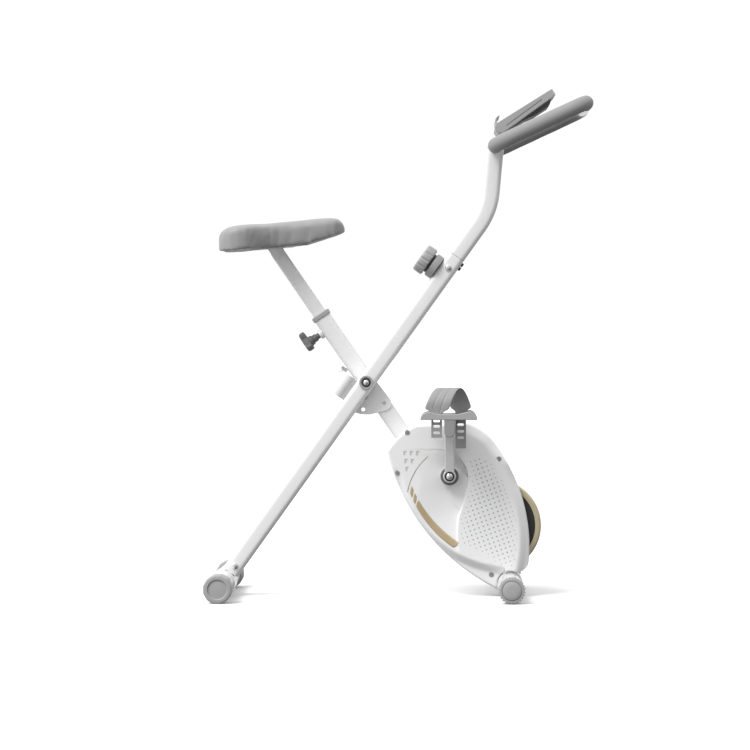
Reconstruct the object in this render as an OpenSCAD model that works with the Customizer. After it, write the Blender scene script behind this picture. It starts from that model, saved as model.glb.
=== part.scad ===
// Folding upright exercise bike with an X-shaped frame.
// X runs forward, Y to the rider's left, Z up. The origin is on the floor under the middle of the bike.
// Side-view sizes are measured from the fold pivot unless a comment says otherwise.

/* [Overall] */
// Length of both floor bars over their end pieces
floor_bar_length = 430; // [380:1:520]
// Distance from the fold pivot down to the rear floor bar
leg_length = 535; // [440:1:650]
// Angle of the rear leg above the floor
leg_angle = 54.4; // [52:0.1:58]
// Angle of the seat tube above the floor, leaning back
seat_angle = 55.4; // [53:0.1:59]
// Distance forward from the pivot to the front floor bar
front_reach = 313; // [260:1:380]

/* [Frame tubes] */
// Width of the two crossing tubes, seen from the side
tube_width = 38; // [34:0.5:46]
// Depth of the two crossing tubes, across the bike
tube_depth = 34; // [30:0.5:40]
// Corner radius of the crossing tubes
tube_corner = 11; // [5:0.5:14]
// Wall thickness of all tubes
tube_wall = 2; // [1.5:0.1:3]
// Radius of the floor bars
floor_bar_r = 24; // [20:0.5:26]
// Thickness of the lock plate between the crossing tubes
lock_plate_thick = 3; // [2:0.5:5]
// Distance of the lock holes from the pivot
lock_hole_reach = 60; // [54:1:70]
// Radius of the fold lock pin
lock_pin_r = 4; // [3:0.5:6]
// Radius of the pivot bolt
pivot_bolt_r = 6; // [5:0.5:8]
// Angle between the two lock holes, about the pivot
lock_hole_turn = 47; // [36:1:50]

/* [Seat] */
// Distance of the seat tube's top above the pivot
sleeve_top = 170; // [150:1:200]
// Width of the seat post, seen from the side
post_width = 30; // [24:0.5:31]
// Depth of the seat post, across the bike
post_depth = 26; // [20:0.5:27]
// Distance of the seat post's top above the pivot
post_top = 348; // [320:1:420]
// Spacing of the seat height holes
hole_pitch = 25; // [20:1:30]
// Radius of the seat pin
seat_pin_r = 4.5; // [3.5:0.5:6]
// Length of the saddle
saddle_length = 272; // [240:1:300]
// Width of the saddle at the rear
saddle_width = 256; // [220:1:290]

/* [Handlebar] */
// Distance of the post's seam above the pivot
seam_reach = 336; // [320:1:360]
// Bend radius of the handlebar post
post_bend_r = 150; // [120:1:200]
// Angle of the post's top part above the floor
post_top_angle = 84.7; // [75:0.1:88]
// Length of the handlebar loop between its cross bars
loop_length = 213; // [180:1:260]
// Width of the handlebar loop between its side bars
loop_width = 340; // [280:1:400]
// Slope of the handlebar loop
loop_slope = 25; // [15:0.5:30]
// Radius of the handlebar tube
bar_r = 11; // [10:0.5:14]
// Thickness of the foam on the handlebar
foam_thick = 5; // [3:0.5:8]

/* [Drive] */
// Crank length
crank_length = 118; // [100:1:130]
// Radius of the crank axle
axle_r = 8; // [6:0.5:10]
// Radius of the crank pulley
pulley_r = 75; // [60:1:80]
// Radius of the flywheel's belt groove
small_pulley_r = 15; // [12:0.5:20]
// Radius of the flywheel
flywheel_r = 99.5; // [85:0.5:104]
// Thickness of the flywheel
flywheel_thick = 24; // [16:1:28]
// Half the width of the casing
casing_half = 50; // [46:0.5:58]
// Wall thickness of the casing
casing_wall = 2.5; // [2:0.5:4]

/* [Feet and wheels] */
// Radius of the twelve-sided rear end caps at their corners
cap_r = 31.5; // [28:0.5:36]
// Radius of the front transport wheels
wheel_r = 28.7; // [27.2:0.1:34]
// Width of a transport wheel
wheel_width = 20; // [14:1:30]

/* [Hidden] */
$fn = 64;
run_fit = 0.05;
gap = 0.3;
white = "white";
grey = "darkgray";
steel = "silver";

// Floor bars: the caps' flats and the wheels' rims both reach the floor.
cap_flat = cap_r * cos(15);
leg_rise = leg_length * sin(leg_angle);
leg_run = leg_length * cos(leg_angle);
pivot_z = cap_flat + leg_rise;
front_drop = pivot_z - wheel_r;

// Handlebar post: straight, one bend, straight, in the leg's plane.
post_straight = 82;
post_upper = 85;
bend_angle = post_top_angle - leg_angle;
bend_x = (seam_reach + post_straight) * cos(leg_angle) - post_bend_r * sin(leg_angle);
bend_z = (seam_reach + post_straight) * sin(leg_angle) + post_bend_r * cos(leg_angle);
post_end_x = bend_x + post_bend_r * sin(post_top_angle) + post_upper * cos(post_top_angle);
post_end_z = bend_z - post_bend_r * cos(post_top_angle) + post_upper * sin(post_top_angle);
bar_x = post_end_x;
bar_z = post_end_z + bar_r;
foam_r = bar_r + foam_thick;
loop_corner = 42;

// The side view is placed so that the bike's length is centred on X = 0.
reach_back = leg_run + cap_r * cos(15);
reach_front = bar_x + loop_length * cos(loop_slope) + foam_r;
pivot_x = (reach_back - reach_front) / 2;

// Knob and post screws, along the leg from the pivot.
tension_along = 291;
post_bolt_along = 306;
post_screws_along = [318, 328];
rear_bolt_along = 44 - leg_length;

// The two crossing tubes lie side by side, with the lock plate between them.
leg_y = -(lock_plate_thick + tube_depth) / 2;
seat_y = lock_plate_thick / 2 + 0.5 + tube_depth / 2;
lock_angle = -50;

// Drive centres, from the pivot. The crank keeps its height above the front bar.
crank_x = 181;
crank_rise = 234.736;
crank_z = crank_rise - front_drop;
fly_x = crank_x + 100;
fly_z = crank_z - 109.5;
arm_x = fly_x + 10;
arm_z = fly_z + 121;
belt_y = 24;
belt_half = 4;
plate_y = 38;
plate_thick = 4;
crank_y = 61;
crank_thick = 10;
pedal_in = 84;
pedal_out = 186;

// Floor bar ends.
bar_end = floor_bar_length / 2;
cap_depth = 46;

// Handlebar device tray, from the rear cross bar.
tray_length = 142;
tray_width = 190;
tray_slope = 32;
tray_thick = 12;

module at_pivot() { translate([pivot_x, 0, pivot_z]) children(); }

// Local Z runs up the rear leg, and local X points to its front face.
module on_leg(along) {
    at_pivot() translate([0, leg_y, 0]) rotate([0, 90 - leg_angle, 0])
        translate([0, 0, along]) children();
}

// Local Z runs up the seat tube, and local X points to its front face.
module on_seat_tube(along) {
    at_pivot() translate([0, seat_y, 0]) rotate([0, seat_angle - 90, 0])
        translate([0, 0, along]) children();
}

// The two floor bars' axes.
module at_rear_bar() { at_pivot() translate([-leg_run, 0, -leg_rise]) children(); }
module at_front_bar() { at_pivot() translate([front_reach, 0, -front_drop]) children(); }
module at_crank() { at_pivot() translate([crank_x, 0, crank_z]) children(); }
module at_flywheel() { at_pivot() translate([fly_x, 0, fly_z]) children(); }

// Local X runs forward and up along the handlebar loop, and local Z is square to it.
module on_loop() {
    at_pivot() translate([bar_x, 0, bar_z]) rotate([0, -loop_slope, 0]) children();
}

// A slab of a side-view outline, between two places across the bike.
module slab(from_y, to_y) {
    translate([0, to_y, 0]) rotate([90, 0, 0]) linear_extrude(to_y - from_y) children();
}

module rod_y(r, from_y, to_y) {
    translate([0, to_y, 0]) rotate([90, 0, 0]) cylinder(r = r, h = to_y - from_y);
}

module ring_y(outer, inner, from_y, to_y) {
    difference() {
        rod_y(outer, from_y, to_y);
        rod_y(inner, from_y - 1, to_y + 1);
    }
}

module hexagon_y(r, from_y, to_y) {
    translate([0, to_y, 0]) rotate([90, 0, 0]) cylinder(r = r, h = to_y - from_y, $fn = 6);
}

module rounded_rect(w, d, r) {
    square([w - 2 * r, d], center = true);
    square([w, d - 2 * r], center = true);
    for (sx = [-1, 1], sy = [-1, 1])
        translate([sx * (w / 2 - r), sy * (d / 2 - r)]) circle(r = r);
}

module tube_section(w, d, r, wall) {
    difference() {
        rounded_rect(w, d, r);
        rounded_rect(w - 2 * wall, d - 2 * wall, r - wall);
    }
}

module frame_section() { tube_section(tube_width, tube_depth, tube_corner, tube_wall); }

function arc(x, z, r, from, to, steps) =
    [for (i = [0:steps]) let (a = from + (to - from) * i / steps) [x + r * cos(a), z + r * sin(a)]];

// ---- Front frame ----

module seat_tube() {
    color(white) difference() {
        union() {
            on_seat_tube(-180) linear_extrude(sleeve_top + 180) frame_section();
            on_seat_tube(0) rod_y(pivot_bolt_r + 3, -tube_depth / 2 + 1, tube_depth / 2 - 1);
            on_seat_tube(143) translate([-tube_width / 2 - 7.7, 0, 0]) rotate([0, 90, 0])
                cylinder(r = 11, h = 8.7);
        }
        at_pivot() rod_y(pivot_bolt_r + run_fit, 0, seat_y + tube_depth);
        on_seat_tube(143) translate([-tube_width, 0, 0]) rotate([0, 90, 0])
            cylinder(r = seat_pin_r + run_fit, h = tube_width);
        at_lock(0) rod_y(lock_pin_r + run_fit, 0, seat_y + tube_depth);
    }
}

// A lock hole's centre, after the frame has folded by an angle.
module at_lock(folded) {
    at_pivot() rotate([0, -lock_angle + folded, 0]) translate([lock_hole_reach, 0, 0]) children();
}

module seat_collar() {
    color(grey) on_seat_tube(sleeve_top) difference() {
        union() {
            linear_extrude(11) rounded_rect(tube_width + 5, tube_depth + 5, tube_corner + 2);
            translate([0, 0, -16]) linear_extrude(16.5)
                rounded_rect(tube_width - 2 * tube_wall, tube_depth - 2 * tube_wall,
                             tube_corner - tube_wall);
        }
        translate([0, 0, -20]) linear_extrude(40)
            rounded_rect(post_width + 2 * gap, post_depth + 2 * gap, 6 + gap);
    }
}

// Two side plates carry the crank and the flywheel, and run down to the front bar.
module plate_outline() {
    polygon([[82, -142], [132, -162], [crank_x + 26, crank_z + 12], [fly_x + 22, fly_z + 8],
             [front_reach + 16, -front_drop + floor_bar_r + 8],
             [front_reach - 24, -front_drop + floor_bar_r + 8], [fly_x - 24, fly_z - 10],
             [crank_x - 30, crank_z - 30], [72, -158]]);
}

module lower_frame() {
    color(white) difference() {
        union() {
            for (side = [-1, 1])
                at_pivot() slab(side * plate_y - plate_thick / 2, side * plate_y + plate_thick / 2)
                    plate_outline();
            at_pivot() translate([102, 0, -150]) rotate([0, seat_angle, 0])
                translate([6, 0, 0]) cube([10, 2 * plate_y, 30], center = true);
            for (side = [-1, 1]) at_crank() rod_y(17, side * 42 - 7, side * 42 + 7);
        }
        at_crank() rod_y(12, -60, 60);
        at_flywheel() rod_y(6, -60, 60);
        for (x = bracket_bolts) at_front_bar() translate([x, 0, bracket_bolt_rise])
            rod_y(4, -60, 60);
        on_seat_tube(-180) linear_extrude(100) rounded_rect(tube_width, tube_depth, tube_corner);
    }
}

module crank_bearings() {
    color(steel) at_crank() for (side = [-1, 1])
        ring_y(12, axle_r + run_fit, side * 42 - 6, side * 42 + 6);
}

module flywheel_axle() {
    color(steel) at_flywheel() {
        rod_y(6, -plate_y - 5, plate_y + 5);
        for (side = [-1, 1]) hexagon_y(9, side * (plate_y + 5.5) - 3.5, side * (plate_y + 5.5) + 3.5);
    }
}

// The belt's straight runs are tangent to both pulleys.
module belt_outline(extra) {
    span = norm([fly_x - crank_x, fly_z - crank_z]);
    aim = atan2(fly_z - crank_z, fly_x - crank_x);
    wrap = acos((pulley_r - small_pulley_r) / span);
    polygon(concat(
        arc(crank_x, crank_z, pulley_r + extra, aim + wrap, aim + 360 - wrap, 40),
        arc(fly_x, fly_z, small_pulley_r + extra, aim - wrap, aim + wrap, 14)));
}

module drive_belt() {
    color("dimgray") at_pivot() slab(belt_y - belt_half, belt_y + belt_half) difference() {
        belt_outline(2.5);
        belt_outline(0.5);
    }
}

// The leaf-shaped casing: two long arcs, a shorter one at the upper front, a flat foot above the
// floor, and a cut-out for the front bar.
casing_low = 241;

module casing_outline(inset) {
    difference() {
        intersection() {
            translate([crank_x + 297, crank_z + 153]) circle(r = 443.8 - inset, $fn = 200);
            translate([crank_x - 196, crank_z - 154]) circle(r = 369.4 - inset, $fn = 200);
            translate([crank_x - 138 + inset, crank_z - casing_low]) square([400, casing_low + 114 - inset]);
            union() {
                translate([crank_x - 12.6, crank_z - 20]) circle(r = 143.5 - inset, $fn = 100);
                translate([crank_x - 200, crank_z - 300]) square([500, 337]);
            }
        }
        translate([front_reach, -front_drop]) circle(r = 28 + inset);
    }
}

// One half of the casing, with a stepped edge. The flywheel comes out through a slot.
module casing_half_shell(side) {
    outer = casing_half;
    inner = casing_half - casing_wall;
    difference() {
        union() {
            at_pivot() slab(-outer, 0) casing_outline(12);
            at_pivot() slab(-outer + 12, 0) casing_outline(0);
        }
        at_pivot() slab(-inner, 1) casing_outline(12 + casing_wall);
        at_pivot() slab(-inner + 12, 1) casing_outline(casing_wall);
        at_crank() rod_y(19, -outer - 5, 5);
        at_flywheel() rod_y(flywheel_r + 5, -flywheel_thick / 2 - 5, 5);
        mirror([0, side > 0 ? 1 : 0, 0]) on_seat_tube(-165) linear_extrude(165)
            rounded_rect(tube_width + 1, tube_depth + 1, tube_corner);
        at_front_bar() slab(-plate_y - plate_thick / 2 - 6, 1)
            translate([-3, floor_bar_r + 2]) square([54, 52], center = true);
        for (p = casing_screw_places) at_crank() translate([p[0], 0, p[1]])
            rod_y(5, -outer - 5, -outer + 12);
    }
}

// Screw places, from the crank.
casing_screw_places = [[-82, 84], [-112.5, 7], [106.5, 37], [91, -205]];

module casing_right() { color(white) casing_half_shell(-1); }
module casing_left() { color(white) mirror([0, 1, 0]) casing_half_shell(1); }

module casing_screws() {
    color(steel) for (p = casing_screw_places, side = [-1, 1])
        at_crank() translate([p[0], side * (casing_half - casing_wall), p[1]])
            rod_y(4.4, side > 0 ? -6 : -2, side > 0 ? 2 : 6);
}

module floor_bar() {
    color(white) ring_y(floor_bar_r, floor_bar_r - tube_wall, -bar_end + 34, bar_end - 34);
}

module front_bar() { at_front_bar() floor_bar(); }

// A saddle bracket welded on the front bar. Its two cheeks are bolted inside the side plates,
// and the flywheel turns between them.
bracket_bolts = [-15, 8];
bracket_bolt_rise = 40;
cheek_thick = 4;

module front_bracket() {
    cheek_out = plate_y - plate_thick / 2;
    color(white) at_front_bar() difference() {
        union() {
            rod_y(floor_bar_r + 3, -cheek_out, cheek_out);
            for (side = [-1, 1])
                slab(side * (cheek_out - cheek_thick / 2) - cheek_thick / 2,
                     side * (cheek_out - cheek_thick / 2) + cheek_thick / 2)
                    translate([-3, floor_bar_r + 12]) square([40, 26], center = true);
        }
        rod_y(floor_bar_r, -60, 60);
        slab(-60, 60) translate([0, -floor_bar_r]) square([80, floor_bar_r], center = true);
        for (x = bracket_bolts) translate([x, 0, bracket_bolt_rise]) rod_y(4, -60, 60);
    }
}

module front_bolts() {
    inner = plate_y - plate_thick / 2 - cheek_thick;
    outer = plate_y + plate_thick / 2;
    color(steel) at_front_bar()
        for (x = bracket_bolts, side = [-1, 1]) translate([x, 0, bracket_bolt_rise]) {
            rod_y(4, side > 0 ? inner : -outer, side > 0 ? outer : -inner);
            hexagon_y(7, side > 0 ? outer : -outer - 4, side > 0 ? outer + 4 : -outer);
        }
}

// End cap over the bar, with a hub that spaces the wheel.
module front_cap(side) {
    color("gray") at_front_bar() difference() {
        rod_y(floor_bar_r + 2.5, side > 0 ? bar_end - wheel_width - 26 : -bar_end + wheel_width + 1,
              side > 0 ? bar_end - wheel_width - 1 : -bar_end + wheel_width + 26);
        rod_y(floor_bar_r, -bar_end + 34, bar_end - 34);
        rod_y(5, -bar_end, bar_end);
    }
}

module front_cap_right() { front_cap(-1); }
module front_cap_left() { front_cap(1); }

module wheel_axles() {
    color(steel) at_front_bar() for (side = [-1, 1]) {
        rod_y(5, side > 0 ? bar_end - wheel_width - 12 : -bar_end + 3,
              side > 0 ? bar_end - 3 : -bar_end + wheel_width + 12);
        rod_y(9, side > 0 ? bar_end - 5 : -bar_end + 3, side > 0 ? bar_end - 3 : -bar_end + 5);
    }
}

module wheel(side) {
    outer = side * bar_end;
    inner = side * (bar_end - wheel_width);
    color(grey) at_front_bar() difference() {
        rod_y(wheel_r, min(outer, inner), max(outer, inner));
        rod_y(5 + run_fit, -bar_end - 5, bar_end + 5);
        rod_y(9.5, side > 0 ? bar_end - 5.3 : -bar_end - 1, side > 0 ? bar_end + 1 : -bar_end + 5.3);
    }
}

module wheel_right() { wheel(-1); }
module wheel_left() { wheel(1); }

// ---- Rear frame ----

module main_tube() {
    color(white) difference() {
        union() {
            on_leg(-leg_length) linear_extrude(leg_length + seam_reach) frame_section();
            on_leg(0) rod_y(pivot_bolt_r + 3, -tube_depth / 2 + 1, tube_depth / 2 - 1);
        }
        at_rear_bar() rod_y(floor_bar_r + 4, -80, 80);
        at_pivot() rod_y(pivot_bolt_r, -80, 0);
        on_leg(-28) rotate([0, 90, 0]) cylinder(r = 3, h = tube_width);
        on_leg(rear_bolt_along) rod_y(4, -tube_depth, tube_depth);
        post_bolt_holes();
        on_leg(tension_along) rotate([0, -90, 0]) cylinder(r = 6, h = tube_width);
    }
}

// One cross bolt, and two screws in the front face, hold the post in the main tube.
module post_bolt_holes() {
    on_leg(post_bolt_along) rod_y(4, -tube_depth, tube_depth);
    for (along = post_screws_along)
        on_leg(along) rotate([0, 90, 0]) cylinder(r = 1.8, h = tube_width);
}

// Side view of the post above its seam: straight, bend, straight.
module post_ribbon(half, start) {
    low = [start * cos(leg_angle), start * sin(leg_angle)];
    top = [post_end_x + (bar_r - 2) * cos(post_top_angle), post_end_z + (bar_r - 2) * sin(post_top_angle)];
    low_side = [half * sin(leg_angle), -half * cos(leg_angle)];
    top_side = [half * sin(post_top_angle), -half * cos(post_top_angle)];
    polygon(concat(
        [low + low_side],
        arc(bend_x, bend_z, post_bend_r + half, leg_angle - 90, post_top_angle - 90, 8),
        [top + top_side, top - top_side],
        arc(bend_x, bend_z, post_bend_r - half, post_top_angle - 90, leg_angle - 90, 8),
        [low - low_side]));
}

// The post's lower end fits inside the main tube.
module handlebar_post() {
    stub = 66;
    inside = 2 * tube_wall;
    bore_half = tube_depth / 2 - tube_wall;
    color(white) difference() {
        union() {
            at_pivot() slab(leg_y - tube_depth / 2, leg_y + tube_depth / 2)
                post_ribbon(tube_width / 2, seam_reach);
            on_leg(seam_reach - stub) linear_extrude(stub + 1)
                rounded_rect(tube_width - inside, tube_depth - inside, tube_corner - tube_wall);
        }
        at_pivot() slab(leg_y - bore_half, leg_y + bore_half)
            post_ribbon(tube_width / 2 - tube_wall, seam_reach + 4);
        on_leg(seam_reach - stub - 1) linear_extrude(stub + 6)
            rounded_rect(tube_width - 2 * inside, tube_depth - 2 * inside,
                         tube_corner - inside);
        at_pivot() translate([bar_x, 0, bar_z]) rod_y(bar_r, -100, 100);
        post_bolt_holes();
        on_leg(tension_along) rotate([0, -90, 0]) cylinder(r = 6, h = tube_width);
    }
}

module post_bolts() {
    color(steel) {
        on_leg(post_bolt_along) {
            rod_y(4, -tube_depth / 2 - 2, tube_depth / 2);
            rod_y(7, -tube_depth / 2 - 5, -tube_depth / 2);
        }
        for (along = post_screws_along) on_leg(along) {
            translate([tube_width / 2 - 4, 0, 0]) rotate([0, 90, 0]) cylinder(r = 1.8, h = 4);
            translate([tube_width / 2, 0, 0]) rotate([0, 90, 0]) cylinder(r = 4.4, h = 4);
        }
    }
}

// A quarter bend of the loop. sx and sy choose the corner.
module loop_bend(outer, inner, sx, sy) {
    translate([loop_length / 2 + sx * (loop_length / 2 - loop_corner),
               sy * (loop_width / 2 - loop_corner), 0])
        rotate([0, 0, sx > 0 ? (sy > 0 ? 0 : 270) : (sy > 0 ? 90 : 180)])
        rotate_extrude(angle = 90) translate([loop_corner, 0]) difference() {
            circle(r = outer);
            circle(r = inner);
        }
}

module loop_side(outer, inner, sy) {
    translate([loop_corner, sy * loop_width / 2, 0]) rotate([0, 90, 0]) difference() {
        cylinder(r = outer, h = loop_length - 2 * loop_corner);
        translate([0, 0, -1]) cylinder(r = inner, h = loop_length);
    }
}

module loop_cross(outer, inner, x, from_y, to_y) {
    translate([x, 0, 0]) ring_y(outer, inner, from_y, to_y);
}

module handlebar() {
    cross = loop_width / 2 - loop_corner;
    color(white) on_loop() {
        for (sx = [-1, 1], sy = [-1, 1]) loop_bend(bar_r, bar_r - tube_wall, sx, sy);
        for (sy = [-1, 1]) loop_side(bar_r, bar_r - tube_wall, sy);
        for (x = [0, loop_length]) loop_cross(bar_r, bar_r - tube_wall, x, -cross, cross);
    }
}

// The bare middle of each cross bar, between the foam's ends.
foam_end = loop_width / 2 - loop_corner - 34;

// A plain sleeve over the middle of the front cross bar.
module bar_sleeve() {
    color(white) on_loop()
        loop_cross(foam_r - 0.5, bar_r + run_fit, loop_length, gap - foam_end, foam_end - gap);
}

// Foam over one side of the loop, around both of its corners.
module grip(sy) {
    inner = bar_r + run_fit;
    cross = loop_width / 2 - loop_corner;
    color("gray") on_loop() {
        for (sx = [-1, 1]) loop_bend(foam_r, inner, sx, sy);
        loop_side(foam_r, inner, sy);
        for (x = [0, loop_length])
            loop_cross(foam_r, inner, x, sy > 0 ? foam_end : -cross, sy > 0 ? cross : -foam_end);
    }
}

module grip_right() { grip(-1); }
module grip_left() { grip(1); }

// The tray stands over the rear cross bar. Local X runs up the slope, local Z out of its face.
module on_tray() {
    at_pivot() translate([bar_x + 8, 0, bar_z + 38]) rotate([0, -tray_slope, 0]) children();
}

module tray_bracket() {
    color(white) difference() {
        union() {
            for (y = [-24, 24]) at_pivot() slab(y - 3, y + 3) polygon([
                [bar_x - 8, bar_z + 6], [bar_x + 12, bar_z - 4], [bar_x + 60, bar_z + 46],
                [bar_x + 52, bar_z + 52], [bar_x + 14, bar_z + 30]]);
        }
        at_pivot() translate([bar_x, 0, bar_z]) rod_y(bar_r, -100, 100);
        on_tray() translate([-50, -60, -13]) cube([200, 120, 60]);
    }
}

// The tray's side view: a slab that is thicker near its lower edge, and the body under it.
module tray_side() {
    polygon([[-8, -4], [-8.3, 3.4], [-4, 8], [0, tray_thick], [tray_length, tray_thick],
             [tray_length + 0.3, -2], [135, -3.8], [39, -9.7], [0, -12], [-5, -9]]);
}

module tray_body_side() {
    polygon([[42, -8], [42, -10], [82, -15.7], [116, -15], [123, -12], [131.6, -3.7], [131, -2]]);
}

// The lip rises from the lower edge and curls over the face.
module tray_lip_side() {
    polygon([[-1, 10], [1, 17], [5, 22], [10, 24.6], [16, 24.8], [16.4, 22.6], [11.5, 21.8],
             [6, 20.4], [3.4, 18], [3.4, 10]]);
}

module device_tray() {
    color(grey) on_tray() {
        difference() {
            intersection() {
                slab(-tray_width / 2, tray_width / 2) tray_side();
                translate([tray_length / 2 - 4, 0, -20]) linear_extrude(40)
                    rounded_rect(tray_length + 9, tray_width, 14);
            }
            console_block(gap, console_sink);
        }
        slab(-55, 55) tray_body_side();
        slab(20 - tray_width / 2, tray_width / 2 - 20) tray_lip_side();
        translate([6, -40, -13]) cube([52, 80, 6]);
    }
}

// A small console, sunk into the tray's face, with a pocket for its button.
console_sink = 8;

module console_block(slack, height) {
    translate([92 - slack, -48 - slack, tray_thick - console_sink])
        cube([38 + 2 * slack, 96 + 2 * slack, height + slack]);
}

module console() {
    color("dimgray") on_tray() difference() {
        console_block(0, console_sink + 1.5);
        translate([111, -32, tray_thick - 4]) cylinder(r = 6.4, h = 10);
    }
}

module mode_button() {
    color("silver") on_tray() translate([111, -32, tray_thick - 2.4]) cylinder(r = 6, h = 4);
}

module tension_base() {
    color(grey) on_leg(tension_along) rotate([0, -90, 0]) difference() {
        union() {
            translate([0, 0, tube_width / 2]) cylinder(r = 27, h = 16);
            translate([0, 0, tube_width / 2 - 6]) cylinder(r = 6, h = 8);
        }
        cylinder(r = 4.05, h = 60);
    }
}

// The knob's hub runs in the base, and its cap stands clear of it.
module tension_knob() {
    color(grey) on_leg(tension_along) rotate([0, -90, 0]) {
        translate([0, 0, tube_width / 2 + 21]) cylinder(r = 31.5, h = 21);
        translate([0, 0, tube_width / 2 + 42]) cylinder(r1 = 31.5, r2 = 29.5, h = 2);
        translate([0, 0, tube_width / 2]) cylinder(r = 4, h = 21);
        translate([0, 0, tube_width / 2 + 16.4]) cylinder(r = 21, h = 4.6);
    }
}

module cable_grommet() {
    color("dimgray") on_leg(-28) translate([tube_width / 2 - 2, 0, 0]) rotate([0, 90, 0])
        difference() {
            union() {
                cylinder(r = 2.95, h = 2.5);
                translate([0, 0, 2]) cylinder(r = 4.5, h = 1.5);
            }
            translate([0, 0, -1]) cylinder(r = 1.5, h = 6);
        }
}

module rear_bar() { at_rear_bar() floor_bar(); }

// A saddle on the rear bar, with two cheeks that stand inside the leg's end.
module rear_bracket() {
    cheek_out = tube_depth / 2 - tube_wall;
    cheek_half = tube_width / 2 - tube_corner;
    color(white) difference() {
        union() {
            at_rear_bar() rod_y(floor_bar_r + 3, -52, 34);
            for (y = [-cheek_out, cheek_out - 4]) on_leg(-leg_length)
                translate([-cheek_half, y, 0]) cube([2 * cheek_half, 4, 56]);
        }
        at_rear_bar() rod_y(floor_bar_r, -80, 80);
        on_leg(-leg_length - 40) translate([-50, -80, 0]) cube([100, 160, 28]);
        on_leg(rear_bolt_along) rod_y(4, -80, 80);
    }
}

module rear_bolt() {
    face = tube_depth / 2;
    color(steel) on_leg(rear_bolt_along) {
        rod_y(4, -face, face);
        rod_y(7, -face - 4, -face);
        hexagon_y(7.5, face, face + 5);
    }
}

// Twelve-sided cap with a round recess in its outer face.
module rear_cap(side) {
    far = side * bar_end;
    near = side * (bar_end - cap_depth);
    color(grey) at_rear_bar() difference() {
        translate([0, max(far, near), 0]) rotate([90, 15, 0])
            cylinder(r = cap_r, h = cap_depth, $fn = 12);
        rod_y(floor_bar_r, side > 0 ? near - 1 : -bar_end + 34, side > 0 ? bar_end - 34 : near + 1);
        rod_y(20.5, side > 0 ? bar_end - 3 : -bar_end - 1, side > 0 ? bar_end + 1 : -bar_end + 3);
    }
}

module rear_cap_right() { rear_cap(-1); }
module rear_cap_left() { rear_cap(1); }

// The lock plate is fixed to the leg. The pin holds the frame open in its first hole.
module lock_plate() {
    hole_x = lock_hole_reach * cos(lock_angle);
    hole_z = lock_hole_reach * sin(lock_angle);
    lip = lock_hole_reach + 11;
    color(white) difference() {
        at_pivot() slab(-lock_plate_thick / 2, lock_plate_thick / 2) polygon(concat(
            [[-18, 6], [-6, 20], [12, 16], [24, -2]],
            arc(hole_x, hole_z, 16, 90 - seat_angle, -71, 8),
            arc(0, 0, lip, lock_angle - 18, lock_angle - lock_hole_turn - 12, 5),
            [[-30, -50]]));
        at_pivot() rod_y(pivot_bolt_r, -20, 20);
        at_lock(0) rod_y(lock_pin_r + run_fit, -20, 20);
        at_lock(lock_hole_turn) rod_y(lock_pin_r + run_fit, -20, 20);
    }
}

// The open position's stop: a short tube on the leg's rear face, with a lug that carries a bolt.
// The bolt's head stands just clear of the seat tube.
stop_x = -tube_width / 2 - 18.5;
stop_bolt_x = stop_x - 18.5;
stop_bolt_y = 16;
stop_bolt_r = 4.5;

module stop_tube() {
    color(white) difference() {
        union() {
            on_leg(-60) translate([stop_x, 0, 0]) cylinder(r = 18.4, h = 51.5);
            on_leg(-58) translate([stop_x, -9, 0]) cube([18.5, 18, 48]);
            on_leg(-18) translate([stop_bolt_x - 8, -2, 0]) cube([24, 24, 5]);
        }
        on_leg(-80) linear_extrude(140) rounded_rect(tube_width, tube_depth, tube_corner);
        on_leg(-80) translate([stop_x, 0, 0]) cylinder(r = 15.4, h = 68);
        on_leg(-20) translate([stop_bolt_x, stop_bolt_y, 0]) cylinder(r = stop_bolt_r, h = 20);
    }
}

module stop_bolt() {
    color(steel) on_leg(0) translate([stop_bolt_x, stop_bolt_y, 0]) {
        translate([0, 0, -18]) cylinder(r = stop_bolt_r, h = 10);
        translate([0, 0, -8]) cylinder(r = 8, h = 7, $fn = 6);
    }
}

module pivot_bolt() {
    bolt_end = seat_y + tube_depth / 2;
    bolt_start = leg_y - tube_depth / 2;
    color(steel) at_pivot() {
        rod_y(pivot_bolt_r, bolt_start - 4, bolt_end + 10);
        rod_y(9, bolt_start - 9, bolt_start - 4);
        hexagon_y(10, bolt_end + 3.5, bolt_end + 11);
    }
}

module pivot_washers() {
    bolt_end = seat_y + tube_depth / 2;
    bolt_start = leg_y - tube_depth / 2;
    color("gray") at_pivot() {
        ring_y(15, pivot_bolt_r, bolt_start - 4, bolt_start);
        ring_y(15, pivot_bolt_r, bolt_end + 0.5, bolt_end + 3.5);
    }
}

// The pull pin that locks the fold, drawn back clear of the lock plate.
module fold_pin() {
    face = seat_y + tube_depth / 2;
    color(steel) at_lock(0) {
        rod_y(lock_pin_r, lock_plate_thick / 2 + gap, face + 16);
        rod_y(13, face + 1, face + 16);
    }
}

// The seat's star knob and pull pin, drawn back clear of the post.
module seat_knob() {
    stem = tube_width / 2 + 8.2;
    star = tube_width / 2 + 33;
    color("dimgray") on_seat_tube(143) rotate([0, -90, 0]) {
        translate([0, 0, post_width / 2 + gap]) cylinder(r = seat_pin_r, h = 32);
        translate([0, 0, stem]) cylinder(r = 6.5, h = 8);
        translate([0, 0, stem + 7]) cylinder(r = 8.5, h = 12);
        translate([0, 0, star - 7]) cylinder(r = 11, h = 21);
        for (turn = [0:120:359]) rotate([0, 0, turn]) {
            translate([17, 0, star]) cylinder(r = 9.5, h = 14);
            translate([0, -8, star]) cube([17, 16, 14]);
        }
    }
}

// ---- Seat ----

post_bottom = 66;
height_holes = [-2:6];

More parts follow.
